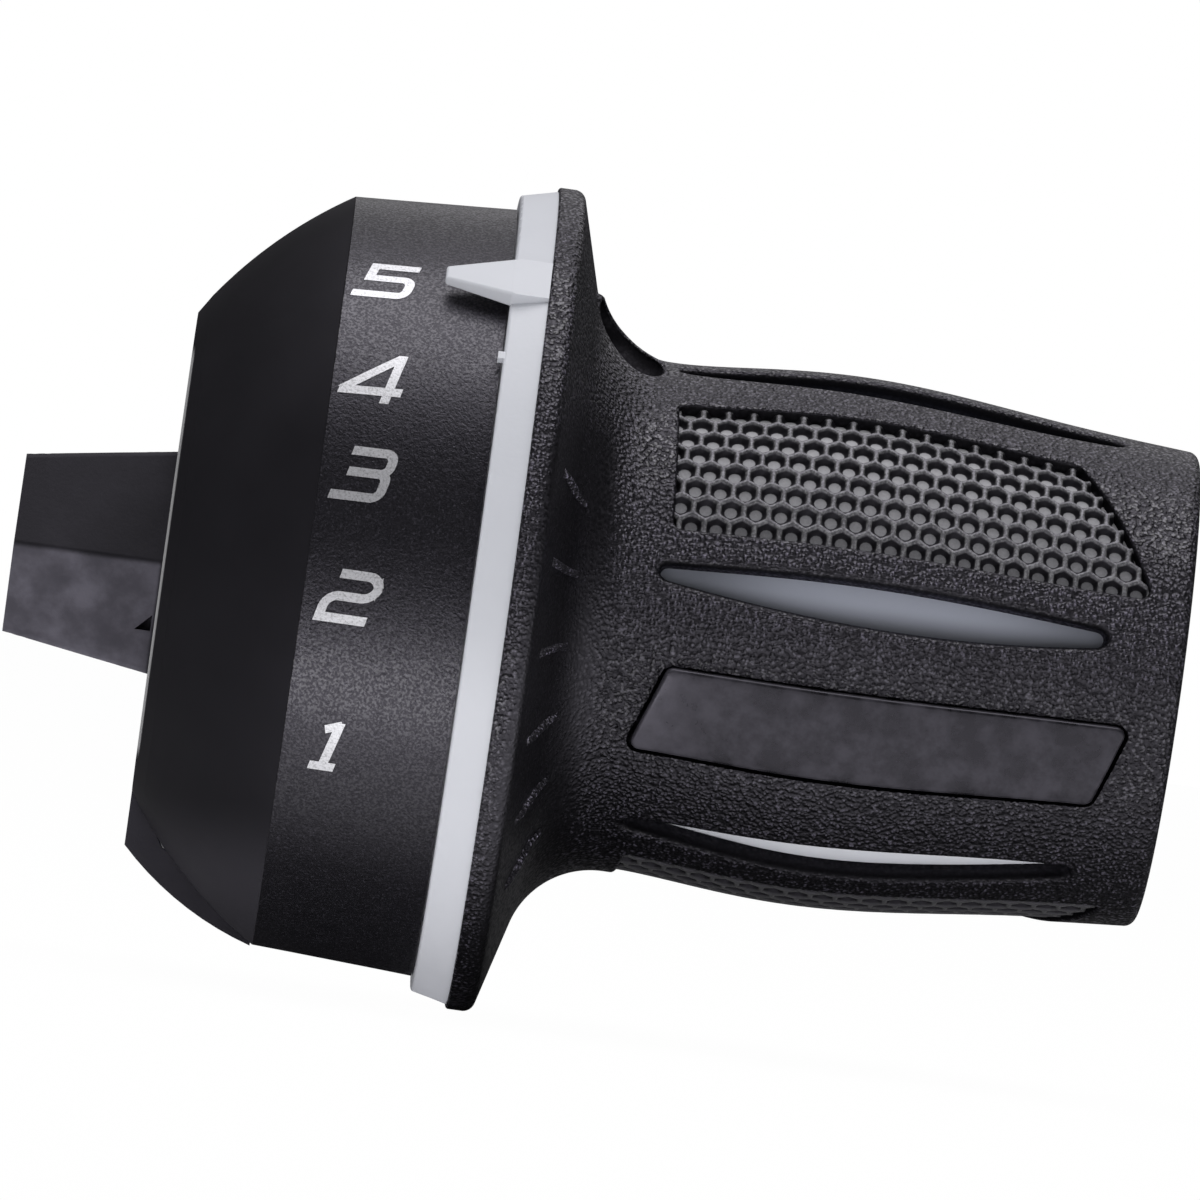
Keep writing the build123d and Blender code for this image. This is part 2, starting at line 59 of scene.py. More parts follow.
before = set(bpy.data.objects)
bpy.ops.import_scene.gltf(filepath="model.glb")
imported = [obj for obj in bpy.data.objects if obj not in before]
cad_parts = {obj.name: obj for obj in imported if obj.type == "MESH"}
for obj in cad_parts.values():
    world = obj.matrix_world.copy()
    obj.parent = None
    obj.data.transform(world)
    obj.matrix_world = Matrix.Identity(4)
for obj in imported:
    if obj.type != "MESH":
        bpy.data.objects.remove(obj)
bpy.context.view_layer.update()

MM = 0.001
FIXED_BODY = "housing"
TURNING_BODY = "grip"

# Angles round the bar start at the viewer's side (-Y) and grow upwards, in degrees.
# Lengths below are in millimetres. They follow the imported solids, apart from small shifts of
# the windows and the slot.

# Drum
BAND_EDGE_X = -10.75
BAND_EDGE_RADIUS = 25.5
BAND_MOUTH_X = 0.15
BAND_MOUTH_RADIUS = 26.12

# Grip contour
FLANGE_LEFT_X = 2.75
FLANGE_RADIUS = 28.0
FLANGE_ROUND = 0.8
FLANGE_EDGE_ROUND = 0.2
FLANGE_SEAT_RADIUS = 25.5
FLARE_CENTRE = (12.0, 23.35)
FLARE_RADIUS = 6.0
FLARE_TURN = 74.5
FLARE_STEPS = 24
CONTOUR = ((12.0, 17.35), (23.5, 18.15), (37.4, 17.1), (47.3, 16.2))
CONTOUR_SLOPES = (0.0, -0.08)
CONTOUR_STEPS = 70
PAST_FLANGE_X = FLANGE_LEFT_X + 1.0
PAST_FLANGE_RADIUS = FLANGE_RADIUS - 2.0
GRIP_END_X = 48.1
END_DROP = 0.06
END_ROUND = 0.7
END_LIP_ROUND = 0.15
END_LIP_BORE = 13.2
END_LIP_X = 47.35
SLEEVE_THICKNESS = 1.3
UNROLL_RADIUS = 17.7

# Features of the sleeve. A bow gives a window's sideways shift at its left end, middle and right end.
MIRROR_ANGLE = -22.9
SEAM_ANGLE = MIRROR_ANGLE + 160.0
WINDOW_OFFSETS = (32.7, -30.1, 97.0, -100.0, 180.0)
WINDOW_X = (12.6, 42.7)
WINDOW_BOWS = ((0.38, -0.2, 0.05), (0.0, -0.24, 0.26)) + ((0.8, -0.25, 0.35),) * 3
WINDOW_SKEW = -0.1
WINDOW_END_HALF_WIDTH = 0.55
PAD_OFFSET = 61.75
BACK_PAD_OFFSET = 129.35
PAD_HALF_WIDTH = 5.5
PAD_LONG_X = (13.1, 45.4)
PAD_SHORT_X = (12.6, 39.8)
PAD_END_MIDDLE = (43.3, -0.57)
PAD_CORNER_ROUND = 0.6
PLATE_ANGLE = MIRROR_ANGLE + 3.3
PLATE_HALF_WIDTH = 3.0
PLATE_TOP_X = (14.0, 44.9)
PLATE_BOTTOM_X = (12.0, 43.1)
PLATE_ROUND = 0.6
SLOT_ANGLE = 73.0
SLOT_MIDDLE_X = 8.8
SLOT_LENGTH = 5.2
SLOT_WIDTH = 3.2
SLOT_SLANT = -28.0
SLOT_END_SHARE = 0.99
SLOT_DEPTH = 1.05
RIB_FIRST_ANGLE = 20.4
RIB_STEP = -13.9
RIB_COUNT = 6
RIB_START_TURN = 53.0
RIB_REACH = 3.6
RIB_TOP_GAP = 0.01
RIB_STEPS = 24
RIB_END_POWER = 0.35
RIB_SECTION = (
    (-0.26, -0.25), (-0.22, 0.02), (-0.12, 0.28), (-0.04, 0.36),
    (0.04, 0.36), (0.12, 0.28), (0.22, 0.02), (0.26, -0.25),
)

# Smooth worn band on the front of the flare: where it starts and ends along each axis
SMOOTH_X = (3.2, 4.6, 8.0, 10.8)
SMOOTH_Y = (0.0, -6.0)
SMOOTH_Z = (15.0, 10.0)

# Mesh of the sleeve: shortest and longest step of its rows, then margins and edges of its recesses.
# A rim lists the growth of an outline and its depth, step by step.
SKIN_ROWS = (0.02, 0.7)
LINING_ROWS = (1.0, 2.0)
LINING_START_GAP = 0.02
LINING_END_GAP = 0.2
OUTLINE_STEP = 0.6
HOLE_MARGIN = 0.3
HOLE_REACH = 0.5
FLOOR_SPACING = 1.0
FLOOR_MARGIN = 0.35
WALL_INSET = 0.05
# Painted shade on a recess: full where the outline grows less than this, else fading in with depth over
# this
WALL_SHADE_GROWTH = 0.02
WALL_SHADE_FADE = 0.25
RIM_APRON = 0.12
RIM_TURNS = (0.0, 20.0, 40.0, 55.0, 70.0, 90.0)
SLOT_LIP_START = 0.35
SLOT_LIP_SPAN = 0.35
GROOVE_WIDTH = 0.25
GROOVE_DEPTH = 0.5
GROOVE_SHIFT = -0.2
SLOT_RIM = ((0.5, 0.0), (0.42, -0.2), (0.32, -0.36), (0.2, -0.43), (0.09, -0.38), (0.01, -0.2))
GROOVE_RIM = ((0.12, 0.0), (0.05, 0.02), (0.01, 0.07), (0.0, 0.16))
PLATE_RIM = ((0.0, 0.5), (0.0, -0.36), (-0.05, -0.46), (-0.13, -0.52), (-0.26, -0.55))

# Honeycomb net: cell rings as share of reach, level as share of depth, roundness and pit tone; the pit tone
# sets painted shade on the cell walls and painted light on the cell floors
NET_COLUMNS = 22
NET_ROWS = 8
NET_FIRST_X = 12.6
NET_OVERHANG = 0.45
NET_MERGE = 0.01
CELL_STEPS = 12
CELL_TURN = 360 / CELL_STEPS
CELL_ROUND = 0.94
CELL_RINGS = (
    (1.0, 0.0, 0.0, 0.0), (0.90, -0.03, 0.0, 0.0), (0.81, -0.14, 0.15, 0.1), (0.72, -0.45, 0.4, 0.4),
    (0.59, -0.86, 0.85, 0.45), (0.49, -0.98, 1.0, 0.62), (0.42, -1.0, 1.0, 1.0),
)


# Settings that a user would change

class ShifterSizes(bpy.types.PropertyGroup):
    """Sizes of the small features"""

    cell_pitch: FloatProperty(
        name="Cell pitch", description="Distance between honeycomb cells",
        default=1.67 * MM, unit="LENGTH", precision=5,
    )
    cell_depth: FloatProperty(
        name="Cell depth", description="Height of the honeycomb walls",
        default=0.55 * MM, unit="LENGTH", precision=5,
    )
    net_sink: FloatProperty(
        name="Net sink", description="How far the honeycomb crest lies below the sleeve",
        default=0.28 * MM, unit="LENGTH", precision=5,
    )
    window_half_width: FloatProperty(
        name="Window half width", description="Half the width of a lens-shaped window",
        default=1.45 * MM, unit="LENGTH", precision=5,
    )
    pad_depth: FloatProperty(
        name="Pad recess", description="Depth of the recess of a honeycomb pad",
        default=1.0 * MM, unit="LENGTH", precision=5,
    )
    plate_rise: FloatProperty(
        name="Plate rise", description="How far the bare plate stands out of the sleeve",
        default=0.55 * MM, unit="LENGTH", precision=5,
    )
    digit_width: FloatProperty(
        name="Digit width", description="Width of a gear number",
        default=3.75 * MM, unit="LENGTH", precision=5,
    )
    digit_height: FloatProperty(
        name="Digit height", description="Height of a gear number",
        default=3.6 * MM, unit="LENGTH", precision=5,
    )
    digit_stroke: FloatProperty(
        name="Digit stroke", description="Stroke width of a gear number",
        default=0.62 * MM, unit="LENGTH", precision=5,
    )
    around: IntProperty(
        name="Segments around", description="Segments of the sleeve round the bar",
        default=180, min=48, max=360,
    )


class ShifterColours(bpy.types.PropertyGroup):
    """Colours of the finishes"""

    drum: FloatVectorProperty(
        name="Drum", description="Black plastic of the drum",
        default=(0.0066, 0.0063, 0.0076), subtype="COLOR", min=0, max=1,
    )
    rubber: FloatVectorProperty(
        name="Rubber", description="Black rubber of the sleeve",
        default=(0.0050, 0.0047, 0.0058), subtype="COLOR", min=0, max=1,
    )
    ring: FloatVectorProperty(
        name="Ring", description="Light grey plastic of ring and barrel",
        default=(0.605, 0.618, 0.66), subtype="COLOR", min=0, max=1,
    )
    print_ink: FloatVectorProperty(
        name="Print", description="Silver ink of the gear numbers",
        default=(0.70, 0.70, 0.73), subtype="COLOR", min=0, max=1,
    )


def sizes():
    return bpy.context.scene.shifter_sizes


def colours():
    return bpy.context.scene.shifter_colours


# Shader maths

# Sockets of a Mix node that mixes colours
MIX_FACTOR = 0
MIX_FIRST = 6
MIX_SECOND = 7
MIX_RESULT = 2


class Wire:
    """One output of a shader node. Arithmetic on wires adds Math nodes to its tree."""

    def __init__(self, tree, socket):
        self.tree = tree
        self.socket = socket

    def add(self, kind, settings=None, sockets=None, out=0):
        """Add any other node: its settings first, then the values or links of its sockets."""
        node = self.tree.nodes.new(kind)
        for name, value in (settings or {}).items():
            setattr(node, name, value)
        for key, value in (sockets or {}).items():
            plug(self.tree, node.inputs[key], value)
        return Wire(self.tree, node.outputs[out])

    def maths(self, operation, left, right):
        return self.add("ShaderNodeMath", {"operation": operation}, {0: left, 1: right})

    def __add__(self, other):
        return self.maths("ADD", self, other)

    def __radd__(self, other):
        return self.maths("ADD", other, self)

    def __sub__(self, other):
        return self.maths("SUBTRACT", self, other)

    def __rsub__(self, other):
        return self.maths("SUBTRACT", other, self)

    def __mul__(self, other):
        return self.maths("MULTIPLY", self, other)

    def __rmul__(self, other):
        return self.maths("MULTIPLY", other, self)


def plug(tree, target, value):
    if isinstance(value, Wire):
        tree.links.new(value.socket, target)
    elif target.type == "RGBA" and len(value) == 3:
        target.default_value = (*value, 1.0)
    else:
        target.default_value = value


def add_object(name, data):
    """New object, linked to the scene."""
    made = bpy.data.objects.new(name, data)
    bpy.context.scene.collection.objects.link(made)
    return made


def bare_tree(owner):
    """Empty node tree of a material or a world."""
    owner.use_nodes = True
    owner.node_tree.nodes.clear()
    return owner.node_tree


def new_material(name, gloss=None):
    """Material with a bare Principled shader, and a wire of its Object coordinates."""
    material = bpy.data.materials.new(name)
    tree = bare_tree(material)
    shader = tree.nodes.new("ShaderNodeBsdfPrincipled")
    output = tree.nodes.new("ShaderNodeOutputMaterial")
    tree.links.new(shader.outputs["BSDF"], output.inputs["Surface"])
    place = tree.nodes.new("ShaderNodeTexCoord")
    set_shader(shader, gloss or {})
    return material, shader, Wire(tree, place.outputs["Object"])


def set_shader(shader, sockets):
    """Set or link sockets of a Principled shader."""
    for name, value in sockets.items():
        plug(shader.id_data, shader.inputs[name], value)


def mixed(factor, first, second):
    """Colour between two colours by a wire."""
    sockets = {MIX_FACTOR: factor, MIX_FIRST: as_colour(first), MIX_SECOND: as_colour(second)}
    return factor.add("ShaderNodeMix", {"data_type": "RGBA"}, sockets, out=MIX_RESULT)


def as_colour(value):
    if isinstance(value, Wire):
        return value
    return (*value, 1.0)


def scaled(colour, factor):
    return tuple(channel * factor for channel in colour)


def noise(place, size, detail=2.0, roughness=0.5):
    """Noise with lumps of about the given size in millimetres."""
    return place.add(
        "ShaderNodeTexNoise", None,
        {"Vector": place, "Scale": 1.0 / (size * MM), "Detail": detail, "Roughness": roughness},
    )


def step_between(value, low, high):
    """Smooth step from 0 to 1 between two values of a wire."""
    return value.add(
        "ShaderNodeMapRange", {"interpolation_type": "SMOOTHSTEP"},
        {"Value": value, "From Min": low, "From Max": high},
    )


def bump(height, depth):
    """Normal from a height wire, with its depth in millimetres."""
    return height.add("ShaderNodeBump", None, {"Height": height, "Distance": depth * MM, "Strength": 1.0})


def along(place, axis):
    """One axis of a vector, such as the Object coordinates."""
    return place.add("ShaderNodeSeparateXYZ", None, {0: place}, out="XYZ".index(axis))


def fade(place, axis, low, high):
    """Smooth step from 0 to 1 along one axis, between two places in millimetres."""
    return step_between(along(place, axis), low * MM, high * MM)


def attribute(place, name):
    """A mesh attribute as a wire."""
    return place.add("ShaderNodeAttribute", {"attribute_name": name}, None, out="Fac")


# Finishes

COOL_GLOSS = {"Specular Tint": (0.89, 0.85, 1.0), "Coat Roughness": 0.3, "Coat Tint": (0.95, 0.93, 1.0)}
RUBBER_GLOSS = {**COOL_GLOSS, "Specular IOR Level": 0.8}

# Places where a finish changes, or where light and shade are painted on, in millimetres
BAND_BLEND = 0.05
LIP_X = (-20.0, -20.08)
LIP_BELOW_Z = (-14.0, -13.0)
LIP_ABOVE_Z = (14.0, 13.0)
DOME_LOW_LIGHT_Z = (-15.5, -22.0)
STUB_X = (-20.3, -20.6)
STUB_UNDER_LIGHT_Z = (-0.7, -1.2)
LOBE_LOW_LIGHT_Z = (-8.0, -16.0)
PAD_UPPER_LIGHT_Z = (4.0, 14.0)
PAD_UNDER_SHADE_Z = (-11.0, -15.0)
PLATE_LEFT_X = (18.0, 12.5)
# Painted shade on the barrel behind the windows is placed by these
BARREL_X = (6.0, 9.0)
BARREL_Z = (-10.0, -3.0)
BARREL_SHADE_Z = (3.0, 1.4)
BARREL_MIDDLE_X = 28.0
BARREL_END_SQUARES = (4.0, 180.0)

# Grain of the rubber, in millimetres
PEBBLE_SIZE = 0.28
PEBBLE_WARP = 0.3
PEBBLE_BUMP = 0.2

# Colours of small things, some of them painted light and shade
LIP_HIGHLIGHT_GREY = (0.27, 0.27, 0.27)
CREST_DARK = (0.04, 0.04, 0.041)
CREST_HIGHLIGHT = (0.21, 0.21, 0.215)
CREST_UNDER_SHADE = (0.05, 0.05, 0.052)
CELL_FLOOR_DIM_LIGHT = (0.1, 0.1, 0.103)
CELL_FLOOR_BRIGHT_LIGHT = (0.5, 0.5, 0.51)
SLATE_TINT = (0.93, 0.96, 1.06)
SPOOL_DARK = (0.66, 0.66, 0.63)
SPOOL_LIGHT = (0.74, 0.74, 0.71)
PLATED_STEEL = (0.5, 0.5, 0.52)
SPRING_STEEL = (0.55, 0.55, 0.55)


def drum_finish():
    """Black plastic: spark texture on the number band, satin on the dome with painted light towards its
    bottom, and a painted highlight line on its lip.
    """
    material, shader, place = new_material("drum_plastic", COOL_GLOSS)
    band = fade(place, "X", BAND_EDGE_X - BAND_BLEND, BAND_EDGE_X + BAND_BLEND)
    # The dome's inboard lip is painted pale grey, a painted highlight line.
    lip = fade(place, "X", *LIP_X) * fade(place, "Z", *LIP_BELOW_Z) * fade(place, "Z", *LIP_ABOVE_Z)
    # Painted light: the dome is painted lighter towards its bottom.
    low = fade(place, "Z", *DOME_LOW_LIGHT_Z)
    fine = noise(place, 0.22, 3.0, 0.6)
    coarse = noise(place, 1.1, 2.0)
    worn = noise(place, 6.0, 3.0)
    spark = step_between(noise(place, 0.16, 1.0), 0.57, 0.73)
    base = colours().drum
    grain_colour = mixed(fine * 0.6 + coarse * 0.4, scaled(base, 0.4), scaled(base, 2.0))
    grain_colour = mixed(spark, grain_colour, scaled(base, 4.0))
    smooth_colour = mixed(worn, base, scaled(base, 1.7))
    smooth_colour = mixed(low, smooth_colour, scaled(base, 5.0))
    smooth_colour = mixed(lip, smooth_colour, LIP_HIGHLIGHT_GREY)
    set_shader(shader, {
        "Base Color": mixed(band, smooth_colour, grain_colour),
        "Coat Weight": step_between(noise(place, 0.18, 2.0), 0.44, 0.62) * band * 0.8,
        "Roughness": (0.40 + worn * 0.12) * (1 - band) + band * (0.25 + fine * 0.18),
        "Normal": bump((fine * 0.8 + coarse * 0.2) * (0.05 + band * 0.95), 0.08),
    })
    return material


def base_finish():
    """Black plastic of the base and the outlet stub, with a dull cloudy bloom, and painted light from below
    on the stub's lower facet and the lobe's bottom.
    """
    material, shader, place = new_material("base_plastic", COOL_GLOSS)
    fine = noise(place, 0.3, 3.0, 0.6)
    cloud = noise(place, 3.2, 4.0, 0.6)
    # Painted light from below: the stub's lower facet is painted lighter, mostly as a strong cloudy bloom
    # there.
    painted_underside = fade(place, "Z", *STUB_UNDER_LIGHT_Z) * fade(place, "X", *STUB_X)
    bloom_and_under_light = step_between(cloud, 0.35, 0.75) * (0.06 + painted_underside * 0.94)
    base = colours().drum
    # Painted light: the lobe is painted lighter towards its bottom.
    plain = mixed(fade(place, "Z", *LOBE_LOW_LIGHT_Z), scaled(base, 1.3), scaled(base, 4.5))
    set_shader(shader, {
        "Base Color": mixed(bloom_and_under_light, mixed(painted_underside, plain, scaled(base, 11.0)), scaled(base, 22.0)),
        "Roughness": 0.6 + cloud * 0.2,
        "Normal": bump(fine * 0.6 + cloud * 0.4, 0.03),
    })
    return material


def rubber_wires(place):
    """Leathery grain: rounded pebbles between fine creases, with the height of the grain."""
    warp = noise(place, 0.9, 2.0).socket.node.outputs["Color"]
    shifted = place.add(
        "ShaderNodeVectorMath", {"operation": "MULTIPLY_ADD"},
        {0: Wire(place.tree, warp), 1: (PEBBLE_WARP * MM,) * 3, 2: place},
    )
    cells = place.add(
        "ShaderNodeTexVoronoi", {"feature": "SMOOTH_F1"},
        {"Vector": shifted, "Scale": 1.0 / (PEBBLE_SIZE * MM), "Smoothness": 0.35},
    )
    fine = noise(place, 0.12, 2.0)
    lumps = 1 - cells * 1.15
    return lumps, lumps * 0.8 + fine * 0.2


def rubber_finish(name, worn_share, tone=1.0):
    """Pebbled rubber with painted shade on the recess walls and in the grain's valleys, and painted glints
    on its crests. A share of the grain is worn off the front of the flare.
    """
    material, shader, place = new_material(name, RUBBER_GLOSS)
    flare = fade(place, "X", *SMOOTH_X[:2]) * (1 - fade(place, "X", *SMOOTH_X[2:]))
    front = fade(place, "Z", *SMOOTH_Z) * fade(place, "Y", *SMOOTH_Y)
    wall_shade = attribute(place, "wall_shade")
    rough = (1 - flare * front * worn_share) * (1 - wall_shade * 0.95)
    lumps, grain = rubber_wires(place)
    patch = noise(place, 5.0, 3.0)
    crest = lumps * 0.6 + noise(place, 0.3, 1.0) * 0.8
    # Painted glints: bright specks on the crests of the grain.
    speck = step_between(crest, 0.76, 0.98) * rough
    base = scaled(colours().rubber, tone)
    # Painted shade in the grain: valleys darker than crests, with random patches of tone.
    body = mixed(lumps * 0.7 * rough + patch * 0.3, scaled(base, 0.12), scaled(base, 0.6))
    set_shader(shader, {
        # Recess walls are painted dark and dull, painted shade.
        "Base Color": mixed(wall_shade, mixed(speck, body, scaled(base, 12.0)), scaled(base, 0.3)),
        "Metallic": wall_shade * 0.7,
        "Coat Weight": step_between(crest, 0.67, 0.85) * rough,
        "Roughness": 0.2 + (1 - lumps) * 0.34 + patch * 0.05 + wall_shade * 0.15,
        "Normal": bump(grain * rough, PEBBLE_BUMP),
    })
    return material


def net_finish():
    """Smooth moulded rubber of the honeycomb: painted highlight flecks on the crests, painted shade on the
    cell walls and painted light on the cell floors, lighter towards the top and darker on the lowest pad.
    """
    material, shader, place = new_material("pad_rubber", RUBBER_GLOSS)
    fine = noise(place, 0.2, 3.0, 0.6)
    patch = noise(place, 4.0, 2.0)
    pit = attribute(place, "pit")
    floor = step_between(pit, 0.6, 0.95)
    wall_shade = step_between(pit, 0.02, 0.35)
    upper = fade(place, "Z", *PAD_UPPER_LIGHT_Z)
    painted_underside = fade(place, "Z", *PAD_UNDER_SHADE_Z)
    sparkle = step_between(fine, 0.42, 0.64)
    # Painted highlight flecks on the crests, and darker crests on the lowest pad, painted shade.
    crest = mixed(painted_underside, mixed(sparkle * 0.7 + patch * 0.3, CREST_DARK, CREST_HIGHLIGHT), CREST_UNDER_SHADE)
    # Painted light on the cell floors, brighter towards the top and dim on the lowest pad.
    cell_floor_light = mixed(painted_underside, mixed(fine * 0.4 + upper * 0.6, CELL_FLOOR_DIM_LIGHT, CELL_FLOOR_BRIGHT_LIGHT), CELL_FLOOR_DIM_LIGHT)
    # The cell walls are painted dark, painted shade.
    sides = mixed(wall_shade, crest, scaled(colours().rubber, 0.3))
    set_shader(shader, {
        "Base Color": mixed(floor, sides, cell_floor_light),
        "Roughness": 0.32 + patch * 0.1 + wall_shade * 0.25,
        "Normal": bump(fine, 0.03),
    })
    return material


def plate_finish():
    """Smooth satin plastic of the bare plate, lighter towards its left end."""
    material, shader, place = new_material("plate_plastic", COOL_GLOSS)
    patch = noise(place, 2.2, 4.0, 0.65)
    mottle = step_between(patch, 0.36, 0.68)
    left = fade(place, "X", *PLATE_LEFT_X)
    base = colours().drum
    set_shader(shader, {
        "Base Color": mixed(mottle * 0.5 + left * 0.5, scaled(base, 1.2), scaled(base, 9.5)),
        "Roughness": 0.26 + mottle * 0.14,
        "Normal": bump(patch, 0.02),
    })
    return material


def ring_finish():
    """Light grey plastic of the ring and the pointer, with painted shade on the barrel behind the windows,
    deepest towards the bottom of the front window and the windows' ends.
    """
    material, shader, place = new_material("grey_plastic")
    fine = noise(place, 0.35, 3.0)
    patch = noise(place, 7.0, 2.0)
    # Painted shade on the barrel seen through the windows.
    barrel = fade(place, "X", *BARREL_X) * fade(place, "Z", *BARREL_Z)
    shade = fade(place, "Z", *BARREL_SHADE_Z)
    from_middle = along(place, "X") - BARREL_MIDDLE_X * MM
    end_shade = step_between(from_middle * from_middle, *(square * MM * MM for square in BARREL_END_SQUARES))
    base = colours().ring
    slate = tuple(channel * tint for channel, tint in zip(base, SLATE_TINT))
    middle_colour = mixed(shade, scaled(slate, 0.68), scaled(slate, 0.24))
    end_colour = mixed(shade, scaled(slate, 0.4), scaled(slate, 0.12))
    surface = mixed(patch, scaled(base, 0.96), scaled(base, 1.03))
    set_shader(shader, {
        "Base Color": mixed(barrel, surface, mixed(end_shade, middle_colour, end_colour)),
        "Roughness": 0.40 + fine * 0.12,
        "Normal": bump(fine, 0.008),
    })
    return material


def print_finish():
    """Silver ink of the numbers, a little thin and rough at its edges."""
    material, shader, place = new_material("number_print")
    speck = noise(place, 0.16, 3.0, 0.7)
    base = colours().print_ink
    set_shader(shader, {
        "Base Color": mixed(step_between(speck, 0.3, 0.55), scaled(base, 0.62), base),
        "Metallic": 0.75,
        "Roughness": 0.4 + speck * 0.15,
        "Normal": bump(speck, 0.02),
    })
    return material


def spool_finish():
    """Natural moulded plastic of the spool."""
    material, shader, place = new_material("spool_plastic")
    fine = noise(place, 0.4, 3.0)
    set_shader(shader, {
        "Base Color": mixed(fine, SPOOL_DARK, SPOOL_LIGHT),
        "Roughness": 0.4 + fine * 0.15,
    })
    return material


def steel_finish(name, tone):
    """Plated steel with fine turning marks."""
    material, shader, place = new_material(name)
    marks = noise(place, 0.15, 4.0, 0.7)
    set_shader(shader, {
        "Base Color": mixed(marks, scaled(tone, 0.85), tone),
        "Metallic": 0.6,
        "Roughness": 0.38 + marks * 0.2,
        "Normal": bump(marks, 0.006),
    })
    return material


def give(node, material):
    """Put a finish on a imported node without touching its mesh."""
    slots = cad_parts[node].material_slots
    if not slots:
        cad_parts[node].data.materials.append(material)
    for slot in slots:
        slot.material = material


# Surfaces

def contour_powers():
    """Coefficients of the grip contour, a polynomial through its points and end slopes."""
    count = len(CONTOUR) + len(CONTOUR_SLOPES)
    rows = [[x ** power for power in range(count)] for x, _ in CONTOUR]
    for end in (0, -1):
        x = CONTOUR[end][0]
        rows.append([power * x ** (power - 1) if power else 0.0 for power in range(count)])
    known = [radius for _, radius in CONTOUR] + list(CONTOUR_SLOPES)
    return [float(value) for value in np.linalg.solve(np.array(rows), np.array(known))]


CONTOUR_POWERS = contour_powers()


def contour_radius(x):
    return sum(value * x ** power for power, value in enumerate(CONTOUR_POWERS))


def arc_points(centre, radius, start, end, count):
    """Points on an arc, with angles in degrees from +x towards +radius."""
    angles = [radians(start + (end - start) * step / count) for step in range(count + 1)]
    return [(centre[0] + radius * cos(a), centre[1] + radius * sin(a)) for a in angles]


def rounded(points, radii, count=8):
    """Open line with its inner corners replaced by arcs."""
    line = [points[0]]
    for before, corner, after, radius in zip(points, points[1:], points[2:], radii):
        if not radius:
            line.append(corner)
            continue
        into = Vector(before) - Vector(corner)
        out = Vector(after) - Vector(corner)
        half = into.angle(out) / 2
        reach = radius / tan(half)
        middle = (into.normalized() + out.normalized()).normalized()
        centre = Vector(corner) + middle * (radius / sin(half))
        start = Vector(corner) + into.normalized() * reach
        end = Vector(corner) + out.normalized() * reach
        for step in range(count + 1):
            spoke = (start - centre).lerp(end - centre, step / count).normalized() * radius
            line.append(tuple(centre + spoke))
    line.append(points[-1])
    return line


def flare_x(turn):
    """Place along the bar where the flare's arc has a given turn."""
    return FLARE_CENTRE[0] - FLARE_RADIUS * sin(radians(turn))


def sleeve_profile():
    """Outer line of the sleeve in x and radius, from the flange's seat to the end lip."""
    cone = (flare_x(FLARE_TURN), FLARE_CENTRE[1] - FLARE_RADIUS * cos(radians(FLARE_TURN)))
    corner_x = cone[0] - (FLANGE_RADIUS - cone[1]) / tan(radians(FLARE_TURN))
    flange = rounded(
        [
            (FLANGE_LEFT_X, FLANGE_SEAT_RADIUS),
            (FLANGE_LEFT_X, FLANGE_RADIUS),
            (corner_x, FLANGE_RADIUS),
            cone,
        ],
        [FLANGE_EDGE_ROUND, FLANGE_ROUND],
    )
    flare = arc_points(FLARE_CENTRE, FLARE_RADIUS, 270 - FLARE_TURN, 270, FLARE_STEPS)
    start, end = CONTOUR[0][0], CONTOUR[-1][0]
    barrel = [start + (end - start) * step / CONTOUR_STEPS for step in range(1, CONTOUR_STEPS + 1)]
    barrel = [(x, contour_radius(x)) for x in barrel]
    end_radius = barrel[-1][1] - END_DROP
    tail = rounded(
        [barrel[-1], (GRIP_END_X, end_radius), (GRIP_END_X, END_LIP_BORE), (END_LIP_X, END_LIP_BORE)],
        [END_ROUND, END_LIP_ROUND],
    )
    return flange[:-1] + flare + barrel[:-1] + tail


class Skin:
    """The sleeve's outer surface, unrolled: t runs along its profile, s round the bar, in mm."""

    def __init__(self, profile):
        self.points = profile
        self.lengths = [0.0]
        for before, after in zip(profile, profile[1:]):
            self.lengths.append(self.lengths[-1] + hypot(after[0] - before[0], after[1] - before[1]))

    def at(self, t):
        """Point and outward normal of the profile."""
        index = min(max(bisect_left(self.lengths, t), 1), len(self.points) - 1)
        before, after = self.points[index - 1], self.points[index]
        span = self.lengths[index] - self.lengths[index - 1]
        share = (t - self.lengths[index - 1]) / span if span else 0.0
        x = before[0] + (after[0] - before[0]) * share
        radius = before[1] + (after[1] - before[1]) * share
        first, second = self.normal(index - 1), self.normal(index)
        normal = (first * (1 - share) + second * share).normalized()
        return x, radius, normal

    def normal(self, index):
        before = self.points[max(index - 1, 0)]
        after = self.points[min(index + 1, len(self.points) - 1)]
        way = Vector((after[0] - before[0], after[1] - before[1])).normalized()
        return Vector((-way.y, way.x))

    def t_of(self, x):
        """Profile length at an x on the flare or the barrel."""
        start = next(
            index for index, point in enumerate(self.points)
            if point[0] > PAST_FLANGE_X and point[1] < PAST_FLANGE_RADIUS
        )
        for index in range(start, len(self.points) - 1):
            before, after = self.points[index], self.points[index + 1]
            if before[0] <= x <= after[0]:
                share = (x - before[0]) / (after[0] - before[0])
                return self.lengths[index] + share * (self.lengths[index + 1] - self.lengths[index])
        raise ValueError(f"x {x} is not on the grip")

    def place(self, t, s, depth):
        """Point in metres, sunk below the surface by depth."""
        x, radius, normal = self.at(t)
        x -= depth * normal.x
        radius -= depth * normal.y
        return round_bar(x, radius, s / UNROLL_RADIUS)


def round_bar(x, radius, angle):
    """Point in metres from x and radius in mm and an angle in radians."""
    return Vector((x, -radius * cos(angle), radius * sin(angle))) * MM


SKIN = Skin(sleeve_profile())


